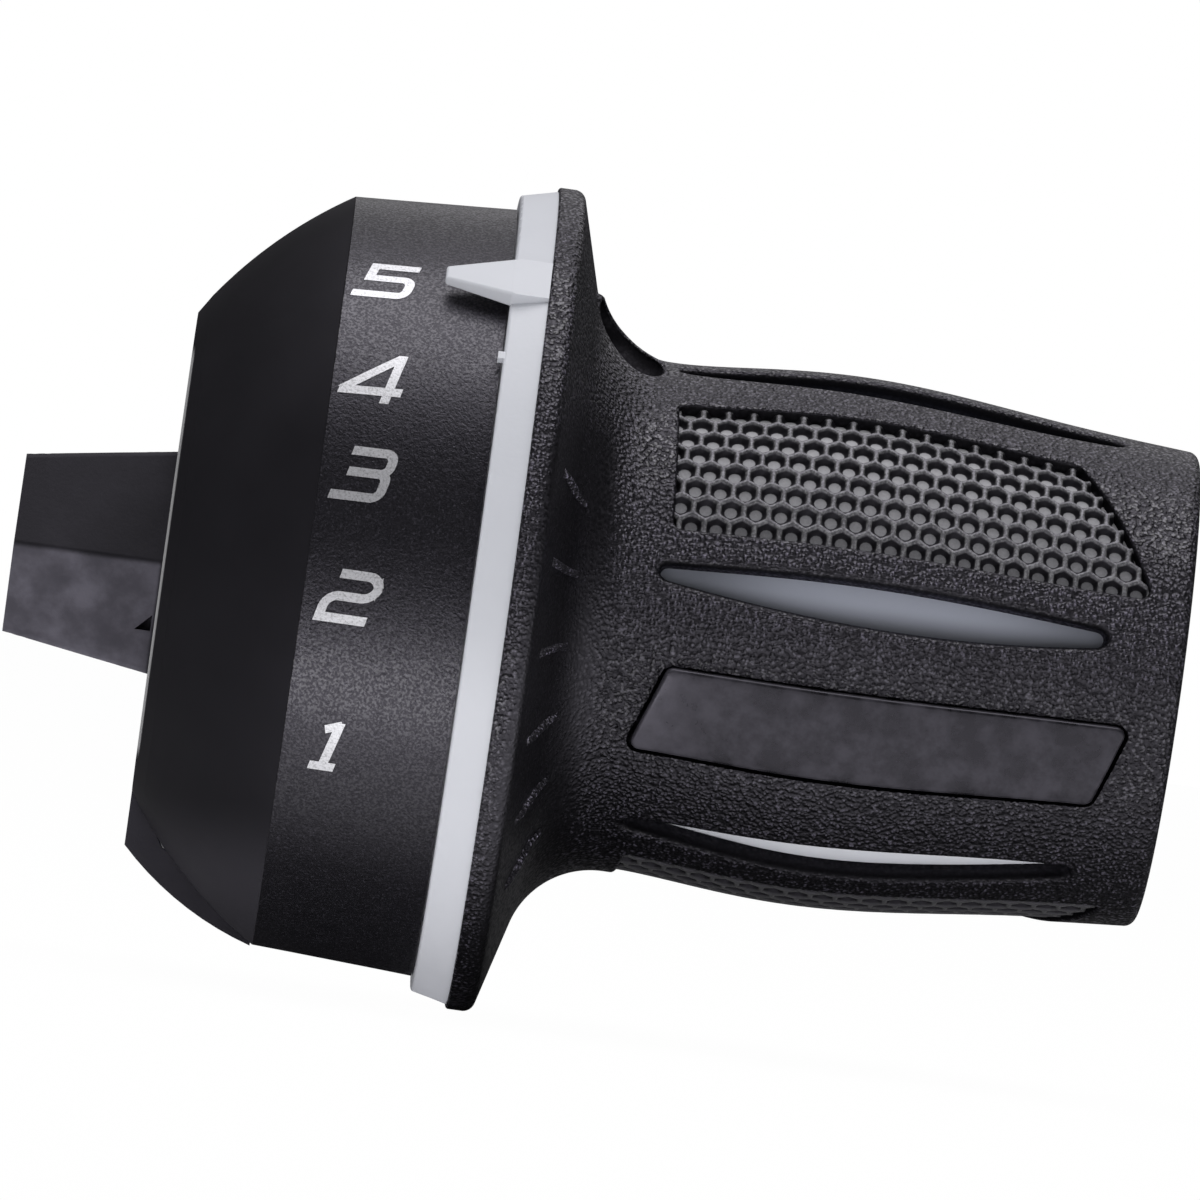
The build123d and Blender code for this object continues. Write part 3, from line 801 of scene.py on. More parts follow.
def lens_outline(half_width, bow_line, count=48):
    """Bowed lens-shaped window in x and sideways distance, with round blunt tips."""
    left, right = WINDOW_X
    middle, half = (left + right) / 2, (right - left) / 2
    tip = WINDOW_END_HALF_WIDTH
    at_left, at_middle, at_right = bow_line
    points = []
    for step in range(2 * count):
        share = cos(pi * step / count)
        width = (tip + (half_width - tip) * (1 - share ** 2)) * (1 - WINDOW_SKEW * share)
        past = max(0.0, (abs(share) - 1) * half / tip + 1)
        width *= sqrt(max(0.0, 1 - past ** 2))
        bow = at_middle + (at_right - at_left) / 2 * share
        bow += ((at_right + at_left) / 2 - at_middle) * share ** 2
        points.append((middle + half * share, bow + (width if step < count else -width)))
    return points


def rounded_outline(corners, radii, count=6):
    """Closed outline with round corners."""
    ring = [corners[-1]] + list(corners) + [corners[0]]
    return rounded(ring, radii, count)[1:-1]


def pad_end_x(rise):
    """Bowed outboard end of a pad, a parabola through its three known points."""
    known = (
        (-PAD_HALF_WIDTH, PAD_LONG_X[1]),
        (PAD_END_MIDDLE[1], PAD_END_MIDDLE[0]),
        (PAD_HALF_WIDTH, PAD_SHORT_X[1]),
    )
    total = 0.0
    for index, (here, x) in enumerate(known):
        for other, (there, _) in enumerate(known):
            if other != index:
                x *= (rise - there) / (here - there)
        total += x
    return total


def pad_outline():
    """Pad in x and sideways distance: long edge below, short edge above, bowed end."""
    half = PAD_HALF_WIDTH
    pieces = 10
    rises = [half * (2 * step / pieces - 1) for step in range(1, pieces)]
    bowed = [(pad_end_x(rise), rise) for rise in rises]
    corners = [(PAD_LONG_X[0], -half), (PAD_LONG_X[1], -half)]
    corners += bowed
    corners += [(PAD_SHORT_X[1], half), (PAD_SHORT_X[0], half)]
    turn = PAD_CORNER_ROUND
    return rounded_outline(corners, [turn, turn] + [0.0] * len(bowed) + [turn, turn])


def plate_outline():
    """Plate in x and sideways distance."""
    bottom = [(x, -PLATE_HALF_WIDTH) for x in PLATE_BOTTOM_X]
    top = [(x, PLATE_HALF_WIDTH) for x in reversed(PLATE_TOP_X)]
    return rounded_outline(bottom + top, [PLATE_ROUND] * 4)


def slot_outline():
    """Slanted slot with round ends."""
    length, width = SLOT_LENGTH / 2, SLOT_WIDTH / 2
    corners = [(-length, -width), (length, -width), (length, width), (-length, width)]
    level = rounded_outline(corners, [width * SLOT_END_SHARE] * 4)
    lean = Matrix.Rotation(radians(SLOT_SLANT), 2)
    return [tuple(lean @ Vector(point) + Vector((SLOT_MIDDLE_X, 0.0))) for point in level]


def on_skin(outline, angle, mirrored=False):
    """Outline moved to the unrolled surface, counter-clockwise and finely divided."""
    side = -1 if mirrored else 1
    points = [(SKIN.t_of(x), unrolled(angle) + side * rise) for x, rise in outline]
    if mirrored:
        points.reverse()
    return in_short_steps(points + points[:1], OUTLINE_STEP)[:-1]


def unrolled(angle):
    """Distance round the bar, counted from the seam."""
    turn = (angle - SEAM_ANGLE) % 360.0
    return radians(SEAM_ANGLE + turn) * UNROLL_RADIUS


def in_short_steps(line, longest):
    """Open line with its long stretches divided."""
    made = []
    for start, end in zip(line, line[1:]):
        pieces = max(1, ceil(hypot(end[0] - start[0], end[1] - start[1]) / longest))
        for step in range(pieces):
            share = step / pieces
            made.append((start[0] + (end[0] - start[0]) * share, start[1] + (end[1] - start[1]) * share))
    return made + [line[-1]]


def grown(outline, amount):
    """Counter-clockwise outline moved outwards by amount, point by point."""
    made = []
    count = len(outline)
    for index, here in enumerate(outline):
        before = Vector(outline[index - 1])
        after = Vector(outline[(index + 1) % count])
        here = Vector(here)
        first = (here - before).normalized()
        second = (after - here).normalized()
        normal = Vector((first.y + second.y, -first.x - second.x)).normalized()
        stretch = max(normal.dot(Vector((first.y, -first.x))), 0.5)
        made.append(tuple(here + normal * (amount / stretch)))
    return made


def inside(point, outline):
    """Whether a point lies in a closed outline."""
    crossings = False
    x, y = point
    for (x1, y1), (x2, y2) in zip(outline, outline[1:] + outline[:1]):
        if (y1 > y) != (y2 > y) and x < (x2 - x1) * (y - y1) / (y2 - y1) + x1:
            crossings = not crossings
    return crossings


def spread(outline):
    """Lowest and highest corner of an outline."""
    ts = [p[0] for p in outline]
    ss = [p[1] for p in outline]
    return min(ts), max(ts), min(ss), max(ss)


def near(point, box, margin):
    return box[0] - margin < point[0] < box[1] + margin and box[2] - margin < point[1] < box[3] + margin


def in_any(point, boxes, outlines, margin):
    """Whether a point lies in any of the outlines, with their boxes tried first."""
    return any(near(point, box, margin) and inside(point, line) for box, line in zip(boxes, outlines))


class MeshMaker:
    """Collects points and faces of one piece, and marks the points that lie in a recess, which the rubber
    paints with shade.
    """

    def __init__(self):
        self.points = []
        self.wall_shades = []
        self.faces = []

    def add_points(self, points, wall_shade=0.0):
        start = len(self.points)
        self.points.extend(points)
        self.wall_shades.extend([wall_shade] * len(points))
        return list(range(start, len(self.points)))

    def strip(self, first, second, closed=True):
        """Quads between two rows of points."""
        count = len(first)
        for index in range(count if closed else count - 1):
            after = (index + 1) % count
            self.faces.append((first[index], first[after], second[after], second[index]))

    def patch(self, flat, edges, depth, keep, flip=False):
        """Triangulate points of the unrolled surface and lay them at a depth."""
        points, _, faces = delaunay_2d_cdt([Vector(p) for p in flat], edges, [], 0, 1e-5)[:3]
        wall_shade = 1.0 if depth > 0 else 0.0
        rows = self.add_points([SKIN.place(p.x, p.y, depth) for p in points], wall_shade)
        for face in faces:
            centre = sum((points[i] for i in face), Vector((0, 0))) / len(face)
            if keep((centre.x, centre.y)):
                order = face[::-1] if flip else face
                self.faces.append(tuple(rows[i] for i in order))

    def piece(self, name, materials, merge=2e-6):
        mesh = bpy.data.meshes.new(name)
        mesh.from_pydata(self.points, [], self.faces)
        mesh.attributes.new("wall_shade", "FLOAT", "POINT").data.foreach_set("value", self.wall_shades)
        for material in materials:
            mesh.materials.append(material)
        piece = add_object(name, mesh)
        tidy_mesh(mesh, merge)
        return piece


def tidy_mesh(mesh, merge):
    """Merge doubles, turn the faces outwards and shade them smooth."""
    shape = bmesh.new()
    shape.from_mesh(mesh)
    bmesh.ops.remove_doubles(shape, verts=shape.verts, dist=merge)
    bmesh.ops.dissolve_degenerate(shape, edges=shape.edges, dist=merge / 4)
    bmesh.ops.recalc_face_normals(shape, faces=shape.faces)
    shape.to_mesh(mesh)
    shape.free()
    mesh.shade_smooth()


def loop_edges(start, count):
    return [(start + index, start + (index + 1) % count) for index in range(count)]


def far_share(s, low, high):
    """Share of a raised lip: none on the lower side of a recess, all of it on the upper side."""
    share = min(1.0, max(0.0, ((s - low) / (high - low) - SLOT_LIP_START) / SLOT_LIP_SPAN))
    return share * share * (3 - 2 * share)


def rim_and_wall(maker, outline, rounds, bottom):
    """Rounded rim and wall of a recess, from the surface down to bottom. Returns the bottom outline."""
    rows = []
    low, high = spread(outline)[2:]
    for growth, depth in rounds + ((-WALL_INSET, bottom),):
        line = grown(outline, growth)
        # Painted shade: the wall is dark in full, the rim darkens with its depth.
        wall_shade = 1.0 if growth < WALL_SHADE_GROWTH else min(1.0, max(0.0, depth / WALL_SHADE_FADE))
        levels = [depth if depth > 0 else depth * far_share(s, low, high) for _, s in line]
        row = [SKIN.place(t, s, level) for (t, s), level in zip(line, levels)]
        rows.append(maker.add_points(row, wall_shade))
    for first, second in zip(rows, rows[1:]):
        maker.strip(first, second)
    return grown(outline, -WALL_INSET)


def rim(radius):
    """Quarter round from the surface into a recess: growth of the outline and depth at each step."""
    steps = [radians(turn) for turn in RIM_TURNS]
    round_edge = tuple((radius * (1 - sin(turn)), radius * (1 - cos(turn))) for turn in steps)
    return ((radius + RIM_APRON, 0.0),) + round_edge


WINDOW_RIM = rim(0.5)
PAD_RIM = rim(0.28)


def skin_rows(start, end, shortest, longest):
    """Lengths along the profile that keep its corners, with steps between shortest and longest."""
    corners = [start]
    for length in SKIN.lengths:
        if length > corners[-1] + shortest and length < end - shortest:
            corners.append(length)
    corners.append(end)
    rows = []
    for low, high in zip(corners, corners[1:]):
        pieces = max(1, ceil((high - low) / longest))
        rows += [low + (high - low) * step / pieces for step in range(pieces)]
    return rows + [end]


def skin_points(rows, around, holes):
    """Staggered points on the unrolled surface, away from the holes."""
    boxes = [spread(hole) for hole in holes]
    reach = 2 * pi * UNROLL_RADIUS
    first = unrolled(SEAM_ANGLE)
    wide = [grown(hole, HOLE_MARGIN) for hole in holes]
    points = []
    for row, t in enumerate(rows):
        inner = row not in (0, len(rows) - 1)
        for column in range(around + 1):
            shift = 0.5 if row % 2 and inner and 0 < column < around else 0.0
            point = (t, first + reach * (column + shift) / around)
            if not in_any(point, boxes, wide, HOLE_REACH):
                points.append(point)
    return points


def sleeve_holes():
    """Outline of everything cut in the sleeve, with its depth, its rim and whether it goes through."""
    half = sizes().window_half_width / MM
    pad_depth = sizes().pad_depth / MM
    holes = []
    for offset, bow_line in zip(WINDOW_OFFSETS, WINDOW_BOWS):
        window = on_skin(lens_outline(half, bow_line), MIRROR_ANGLE + offset)
        holes.append((window, SLEEVE_THICKNESS, WINDOW_RIM, True))
    for angle, mirrored in pad_places():
        holes.append((on_skin(pad_outline(), angle, mirrored), pad_depth, PAD_RIM, False))
    holes.append((on_skin(slot_outline(), SLOT_ANGLE), SLOT_DEPTH, SLOT_RIM, False))
    seat = [(t, s + GROOVE_SHIFT) for t, s in on_skin(plate_outline(), PLATE_ANGLE)]
    holes.append((grown(seat, GROOVE_WIDTH), GROOVE_DEPTH, GROOVE_RIM, False))
    return holes


def pad_places():
    """Middle angle of each pad, and whether it is mirrored."""
    return (
        (MIRROR_ANGLE + PAD_OFFSET, False),
        (MIRROR_ANGLE - PAD_OFFSET, True),
        (MIRROR_ANGLE + BACK_PAD_OFFSET, True),
        (MIRROR_ANGLE - BACK_PAD_OFFSET, False),
    )


def holed_patch(maker, rows, around, holes, depth, flip=False):
    """Lay the unrolled surface at a depth, with the holes left open."""
    flat = skin_points(rows, around, holes)
    edges = []
    for hole in holes:
        edges += loop_edges(len(flat), len(hole))
        flat = flat + hole
    boxes = [spread(hole) for hole in holes]
    maker.patch(flat, edges, depth, lambda point: not in_any(point, boxes, holes, 0.0), flip)


def build_sleeve():
    """Closed rubber sleeve with windows, recesses and the access slot."""
    maker = MeshMaker()
    around = sizes().around
    holes = sleeve_holes()
    rims = [grown(outline, edge[0][0]) for outline, _, edge, _ in holes]
    holed_patch(maker, skin_rows(0.0, SKIN.lengths[-1], *SKIN_ROWS), around, rims, 0.0)
    bottoms = []
    for outline, depth, edge, through in holes:
        bottom = rim_and_wall(maker, outline, edge, depth)
        if through:
            bottoms.append(bottom)
        else:
            fill_outline(maker, bottom, depth)
    build_lining(maker, bottoms, around)
    return maker.piece("rubber_skin", [rubber_finish("sleeve_rubber", 0.85)])


def fill_outline(maker, outline, depth):
    """Even floor inside an outline, at a depth."""
    low_t, high_t, low_s, high_s = spread(outline)
    spacing = FLOOR_SPACING
    shrunk = grown(outline, -FLOOR_MARGIN * spacing)
    flat = list(outline)
    rows = max(1, int((high_t - low_t) / spacing))
    columns = max(1, int((high_s - low_s) / spacing))
    for row in range(rows + 1):
        for column in range(columns + 1):
            point = (low_t + spacing * (row + 0.5), low_s + spacing * (column + 0.5 * (row % 2)))
            if inside(point, shrunk):
                flat.append(point)
    maker.patch(flat, loop_edges(0, len(outline)), depth, lambda point: inside(point, outline))


def build_lining(maker, bottoms, around):
    """Inner side of the sleeve, joined to its flange and its end lip."""
    start = SKIN.t_of(flare_x(FLARE_TURN) + LINING_START_GAP)
    end = SKIN.t_of(CONTOUR[-1][0] - LINING_END_GAP)
    holed_patch(maker, skin_rows(start, end, *LINING_ROWS), around, bottoms, SLEEVE_THICKNESS, flip=True)
    first = unrolled(SEAM_ANGLE)
    reach = 2 * pi * UNROLL_RADIUS
    turns = [first + reach * column / around for column in range(around)]
    for inner, outer in ((start, 0.0), (end, SKIN.lengths[-1])):
        inner_row = maker.add_points([SKIN.place(inner, s, SLEEVE_THICKNESS) for s in turns])
        outer_row = maker.add_points([SKIN.place(outer, s, 0.0) for s in turns])
        maker.strip(inner_row, outer_row)


def build_plate():
    """Bare raised plate with a rounded edge."""
    maker = MeshMaker()
    outline = on_skin(plate_outline(), PLATE_ANGLE)
    rise = sizes().plate_rise / MM
    share = rise / -PLATE_RIM[-1][1]
    rows = []
    for growth, depth in PLATE_RIM:
        level = depth if depth > 0 else depth * share
        rows.append(maker.add_points([SKIN.place(t, s, level) for t, s in grown(outline, growth)]))
    for first, second in zip(rows, rows[1:]):
        maker.strip(first, second)
    fill_outline(maker, grown(outline, PLATE_RIM[-1][0]), -rise)
    fill_outline(maker, outline, PLATE_RIM[0][1])
    return maker.piece("bare_plate", [plate_finish()])


# Gear numbers

DIGITS = {
    "5": [[(1.04, 1.0), (0.1, 1.0), (0.1, 0.56), (1.0, 0.56), (1.0, 0.0), (-0.12, 0.0)]],
    "4": [[(0.88, -0.16), (0.88, 1.12)], [(-0.12, 0.10), (0.86, 1.04)], [(-0.16, 0.11), (1.16, 0.14)]],
    "3": [
        [(0.14, 1.02), (1.04, 1.02), (1.04, 0.53), (0.2, 0.53)],
        [(0.62, 0.53), (1.04, 0.53), (1.04, -0.03), (0.0, -0.03)],
    ],
    "2": [[(0.12, 1.0), (1.0, 1.0), (1.0, 0.5), (0.0, 0.5), (0.0, 0.0), (1.0, 0.0)]],
    "1": [[(0.52, 0.1), (0.54, 1.2)], [(0.27, 1.0), (0.58, 1.15)], [(0.24, 0.08), (0.78, 0.09)]],
}
DIGIT_ROUNDS = {
    "5": [[0.0, 0.0, 0.16, 0.16]],
    "4": [[], [], []],
    "3": [[0.16, 0.16], [0.14, 0.16]],
    "2": [[0.24, 0.24, 0.22, 0.0]],
    "1": [[], [], []],
}
DIGIT_ANGLES = {"5": 50.6, "4": 31.3, "3": 15.5, "2": -2.9, "1": -26.6}
DIGIT_MIDDLES = {"5": -7.95, "4": -7.9, "3": -8.0, "2": -7.6, "1": -7.7}
DIGIT_SLANT = 13.5
DIGIT_STEP = 0.4
INK_RISE = 0.03
INK_LAYER = 0.004
INK_ROOT = 0.12


def stroke_sides(line, width):
    """Left and right border of a stroke, with mitred corners."""
    lefts, rights = [], []
    for index, here in enumerate(line):
        here = Vector(here)
        first = here - Vector(line[index - 1]) if index else Vector(line[1]) - here
        second = Vector(line[index + 1]) - here if index < len(line) - 1 else first
        first, second = first.normalized(), second.normalized()
        normal = Vector((-first.y - second.y, first.x + second.x))
        if normal.length < 1e-6:
            normal = Vector((-first.y, first.x))
        normal.normalize()
        stretch = max(normal.dot(Vector((-first.y, first.x))), 0.45)
        lefts.append(here + normal * (width / 2 / stretch))
        rights.append(here - normal * (width / 2 / stretch))
    return lefts, rights


def band_radius(x):
    share = (x - BAND_EDGE_X) / (BAND_MOUTH_X - BAND_EDGE_X)
    return BAND_EDGE_RADIUS + (BAND_MOUTH_RADIUS - BAND_EDGE_RADIUS) * share


def on_band(point, digit, lift):
    """Flat point of a digit laid on the number band."""
    x = DIGIT_MIDDLES[digit] + point.x + point.y * tan(radians(DIGIT_SLANT))
    radius = band_radius(x)
    return round_bar(x, radius + lift, radians(DIGIT_ANGLES[digit]) + point.y / radius)


def build_numbers():
    """Gear numbers as thin raised ink on the number band."""
    maker = MeshMaker()
    width = sizes().digit_width / MM
    height = sizes().digit_height / MM
    pen = sizes().digit_stroke / MM
    box_width = width - pen
    box_height = height - pen
    for digit, strokes in DIGITS.items():
        for number, (stroke, radii) in enumerate(zip(strokes, DIGIT_ROUNDS[digit])):
            flat = [((x - 0.5) * box_width, (y - 0.5) * box_height) for x, y in stroke]
            line = in_short_steps(rounded(flat, [radius * height for radius in radii], 6), DIGIT_STEP)
            lefts, rights = stroke_sides(line, pen)
            lift = INK_RISE + INK_LAYER * number
            rows = [
                maker.add_points([on_band(p, digit, level) for p in side])
                for side, level in ((lefts, -INK_ROOT), (lefts, lift), (rights, lift), (rights, -INK_ROOT))
            ]
            for first, second in zip(rows, rows[1:] + rows[:1]):
                maker.strip(first, second, closed=False)
            for end in (0, -1):
                maker.faces.append(tuple(row[end] for row in rows))
    piece = maker.piece("gear_numbers", [print_finish()], merge=1e-8)
    piece.data.shade_flat()
    return piece


# Geometry Nodes

class Tree:
    """A Geometry Nodes tree with named inputs."""

    def __init__(self, name, inputs):
        self.group = bpy.data.node_groups.new(name, "GeometryNodeTree")
        self.group.interface.new_socket("Geometry", in_out="OUTPUT", socket_type="NodeSocketGeometry")
        self.keys = {}
        for title, kind in inputs.items():
            socket = self.group.interface.new_socket(title, in_out="INPUT", socket_type="NodeSocket" + kind)
            self.keys[title] = socket.identifier
        self.inside = self.group.nodes.new("NodeGroupInput")

    def given(self, name):
        return Wire(self.group, self.inside.outputs[name])

    def add(self, kind, settings=None, sockets=None, out=0):
        return Wire(self.group, None).add(kind, settings, sockets, out)

    def close(self, geometry, material):
        """Realize, give the material and send to the output."""
        real = self.add("GeometryNodeRealizeInstances", None, {0: geometry})
        painted = self.add("GeometryNodeSetMaterial", None, {"Geometry": real, "Material": material})
        output = self.group.nodes.new("NodeGroupOutput")
        self.group.links.new(painted.socket, output.inputs[0])


def bake(name, tree, values):
    """Run a tree on an empty piece and keep its result as a plain mesh."""
    holder = add_object(name + "_holder", bpy.data.meshes.new(name + "_holder"))
    modifier = holder.modifiers.new("nodes", "NODES")
    modifier.node_group = tree.group
    for key, value in values.items():
        modifier[tree.keys[key]] = value
    graph = bpy.context.evaluated_depsgraph_get()
    mesh = bpy.data.meshes.new_from_object(holder.evaluated_get(graph), depsgraph=graph)
    holder.modifiers.remove(modifier)
    bpy.data.objects.remove(holder)
    mesh.name = name
    return add_object(name, mesh)


def cell_object(pitch, depth):
    """One honeycomb cell: half of the wall round a pit, crest at z = 0, drawn along x and y."""
    reach = pitch / sqrt(3)
    points = []
    pits = []
    for share, level, roundness, pit in CELL_RINGS:
        for step in range(CELL_STEPS):
            turn = radians(CELL_TURN * step)
            flat = cos(radians(CELL_TURN)) if step % 2 else 1.0
            radius = reach * share * (flat * (1 - roundness) + CELL_ROUND * roundness)
            points.append((radius * sin(turn), radius * cos(turn), level * depth))
            pits.append(pit)
    last = len(points) - CELL_STEPS
    faces = []
    for low in range(0, last, CELL_STEPS):
        high = low + CELL_STEPS
        for step in range(CELL_STEPS):
            after = (step + 1) % CELL_STEPS
            faces.append((low + step, low + after, high + after, high + step))
    faces.append(tuple(range(last, last + CELL_STEPS)))
    mesh = bpy.data.meshes.new("honeycomb_cell")
    mesh.from_pydata(points, [], [face[::-1] for face in faces])
    mesh.shade_smooth()
    mesh.attributes.new("pit", "FLOAT", "POINT").data.foreach_set("value", pits)
    return add_object("honeycomb_cell", mesh)


def polynomial(tree, x, powers):
    """Value of a polynomial by Horner's rule, in Math nodes."""
    total = tree.add("ShaderNodeMath", {"operation": "MULTIPLY"}, {0: x, 1: powers[-1]})
    for value in reversed(powers[1:-1]):
        total = (total + value) * x
    return total + powers[0]


def honeycomb_tree():
    """Staggered cells over one pad, wrapped on the grip."""
    tree = Tree("honeycomb_net", {
        "Cell": "Object", "Cell pitch": "Float", "Columns": "Int", "Rows": "Int", "First x": "Float",
        "Middle angle": "Float", "Side": "Float", "Sink": "Float", "Material": "Material",
    })
    pitch = tree.given("Cell pitch")
    columns = tree.given("Columns")
    rows = tree.given("Rows")
    line = tree.add("GeometryNodeMeshLine", None, {"Count": columns * rows})
    index = tree.add("GeometryNodeInputIndex")
    row = index.maths("FLOOR", index.maths("DIVIDE", index + 0.5, columns), 0.0)
    column = index - row * columns
    odd = row.maths("MODULO", row, 2.0)
    x = tree.given("First x") + (column + odd * 0.5) * pitch
    rise = (row - (rows - 1) * 0.5) * pitch * (sqrt(3) / 2)
    spot = tree.add("ShaderNodeCombineXYZ", None, {0: x, 1: rise, 2: 0.0})
    points = tree.add("GeometryNodeSetPosition", None, {"Geometry": line, "Position": spot})
    past_left = pad_left(rise) - x
    past_right = x - pad_right(tree, rise)
    past = past_left.maths("MAXIMUM", past_left, past_right)
    outside = past.maths("GREATER_THAN", past, pitch * NET_OVERHANG)
    kept = tree.add(
        "GeometryNodeDeleteGeometry", {"domain": "POINT"}, {"Geometry": points, "Selection": outside},
    )
    cell = tree.add("GeometryNodeObjectInfo", None, {"Object": tree.given("Cell")}, out="Geometry")
    net = tree.add("GeometryNodeInstanceOnPoints", None, {"Points": kept, "Instance": cell})
    net = tree.add("GeometryNodeRealizeInstances", None, {0: net})
    net = tree.add("GeometryNodeMergeByDistance", None, {"Geometry": net, "Distance": NET_MERGE})
    tree.close(wrapped(tree, net), tree.given("Material"))
    return tree


def pad_left(rise):
    """Inboard edge of a pad, a straight line in the rise."""
    slope = (PAD_SHORT_X[0] - PAD_LONG_X[0]) / (2 * PAD_HALF_WIDTH)
    return rise * slope + (PAD_LONG_X[0] + PAD_SHORT_X[0]) / 2


def pad_right(tree, rise):
    """Outboard edge of a pad, with the powers of its parabola."""
    base = pad_end_x(0.0)
    curve = (pad_end_x(1.0) + pad_end_x(-1.0)) / 2 - base
    slope = (pad_end_x(1.0) - pad_end_x(-1.0)) / 2
    return polynomial(tree, rise, [base, slope, curve])


def wrapped(tree, geometry):
    """Bend a flat layout in mm round the bar, in metres."""
    place = tree.add("GeometryNodeInputPosition")
    x, rise, level = (along(place, axis) for axis in "XYZ")
    angle = tree.given("Middle angle") + tree.given("Side") * rise * (1.0 / UNROLL_RADIUS)
    radius = polynomial(tree, x, CONTOUR_POWERS) + level - tree.given("Sink")
    down = angle.maths("COSINE", angle, 0.0) * radius * -MM
    up = angle.maths("SINE", angle, 0.0) * radius * MM
    spot = tree.add("ShaderNodeCombineXYZ", None, {0: x * MM, 1: down, 2: up})
    return tree.add("GeometryNodeSetPosition", None, {"Geometry": geometry, "Position": spot})


def outwards(piece):
    """Turn the faces of an open net away from the bar."""
    mesh = piece.data
    away = 0.0
    for face in mesh.polygons:
        away += face.normal.dot(Vector((0.0, face.center.y, face.center.z)).normalized()) * face.area
    if away < 0:
        mesh.flip_normals()
    mesh.shade_smooth()


def build_nets():
    """One honeycomb net for each pad."""
    pitch = sizes().cell_pitch / MM
    cell = cell_object(pitch, sizes().cell_depth / MM)
    tree = honeycomb_tree()
    material = net_finish()
    nets = []
    for number, (angle, mirrored) in enumerate(pad_places(), start=1):
        net = bake(f"honeycomb_{number}", tree, {
            "Cell": cell,
            "Cell pitch": pitch,
            "Columns": NET_COLUMNS,
            "Rows": NET_ROWS,
            "First x": NET_FIRST_X,
            "Middle angle": radians(angle),
            "Side": -1.0 if mirrored else 1.0,
            "Sink": sizes().net_sink / MM,
            "Material": material,
        })
        outwards(net)
        nets.append(net)
    bpy.data.objects.remove(cell)
    return nets


def rib_object():
    """One thumb rib at the viewer's side: a narrow ridge from the flare up the cone."""
    maker = MeshMaker()
    top = SKIN.t_of(flare_x(FLARE_TURN) + RIB_TOP_GAP) - RIB_REACH
    foot = SKIN.t_of(flare_x(RIB_START_TURN))
    rows = []
    for index in range(RIB_STEPS + 1):
        height = sin(pi * index / RIB_STEPS) ** RIB_END_POWER if 0 < index < RIB_STEPS else 0.0
        t = top + (foot - top) * index / RIB_STEPS
        row = [SKIN.place(t, across, -lift * height if lift > 0 else -lift) for across, lift in RIB_SECTION]
        rows.append(maker.add_points(row))
    for first, second in zip(rows, rows[1:]):
        maker.strip(first, second)
    for row in (rows[0], rows[-1]):
        maker.faces.append(tuple(row))
    return maker.piece("thumb_rib", [], merge=1e-7)


def build_ribs():
    """Thumb ribs on the flare, turned round the bar at an even step."""
    tree = Tree("thumb_ribs", {
        "Rib": "Object", "Count": "Int", "First angle": "Float", "Step": "Float", "Material": "Material",
    })
    line = tree.add("GeometryNodeMeshLine", None, {"Count": tree.given("Count"), "Offset": (0.0, 0.0, 0.0)})
    index = tree.add("GeometryNodeInputIndex")
    turn = (tree.given("First angle") + tree.given("Step") * index) * -1.0
    euler = tree.add("ShaderNodeCombineXYZ", None, {0: turn, 1: 0.0, 2: 0.0})
    rotation = tree.add("FunctionNodeEulerToRotation", None, {0: euler})
    rib = tree.add("GeometryNodeObjectInfo", None, {"Object": tree.given("Rib")}, out="Geometry")
    ribs = tree.add(
        "GeometryNodeInstanceOnPoints", None, {"Points": line, "Instance": rib, "Rotation": rotation},
    )
    tree.close(ribs, tree.given("Material"))
    rib_piece = rib_object()
    ribs = bake("thumb_ribs", tree, {
        "Rib": rib_piece,
        "Count": RIB_COUNT,
        "First angle": radians(RIB_FIRST_ANGLE),
        "Step": radians(RIB_STEP),
        # The ribs' rubber is painted 4.2 times lighter than the sleeve's, a painted highlight.
        "Material": rubber_finish("rib_rubber", 0.2, 4.2),
    })
    bpy.data.objects.remove(rib_piece)
    ribs.data.shade_smooth()
    return ribs


# Stage

PHOTO_SCALE = 14.8
PHOTO_SIZE = 1200
CAMERA_DISTANCE = 950.0
CAMERA_X = -16.0
AIM_X = 9.35
AIM_Z = 0.78
ROLL = 7.9
SENSOR_WIDTH = 36.0
CLIP_END = 20.0
FLOOR_GAP = 0.3
FLOOR_HALF = 3.0
FLOOR_GLOW = 0.985
FLOOR_MIRROR = 0.95
FLOOR_PALE = (0.86, 0.86, 0.86)
FLOOR_DIM = (0.1, 0.1, 0.1)
WHITE = (1.0, 1.0, 1.0)

# The floor in front of the part shines in its mirror, between these places in millimetres
FRONT_Y = (-15.0, -35.0)
FRONT_FAR_Y = (-90.0, -200.0)
FRONT_FAR_LOSS = 0.7
FRONT_X = (-30.0, -12.0)

ROOM_COLOUR = (0.97, 0.98, 1.0)
ROOM_STRENGTH = 0.4
ROOM_MIRROR_STRENGTH = 0.04

# Lamps: name, place, size, power, whether diffuse and glossy surfaces see it, lengths in metres
LAMP_COLOUR = (1.0, 0.99, 1.0)
LAMP_AIM = (0.01, 0.0, 0.0)
LAMPS = (
    ("key_box", (0.0, -0.07, 0.7), (0.8, 0.55), 4.2, True, True),
    ("back_card", (0.12, 0.6, 0.5), (0.55, 0.7), 0.56, False, True),
)
# Cards that lie at these heights above the floor and shine upwards
CARDS = (
    ("bounce_card", (0.01, -0.04, 0.0001), (0.4, 0.5), 0.34, True, False),
    ("front_card", (-0.016, -0.065, 0.0002), (0.032, 0.04), 0.012, False, True),
)


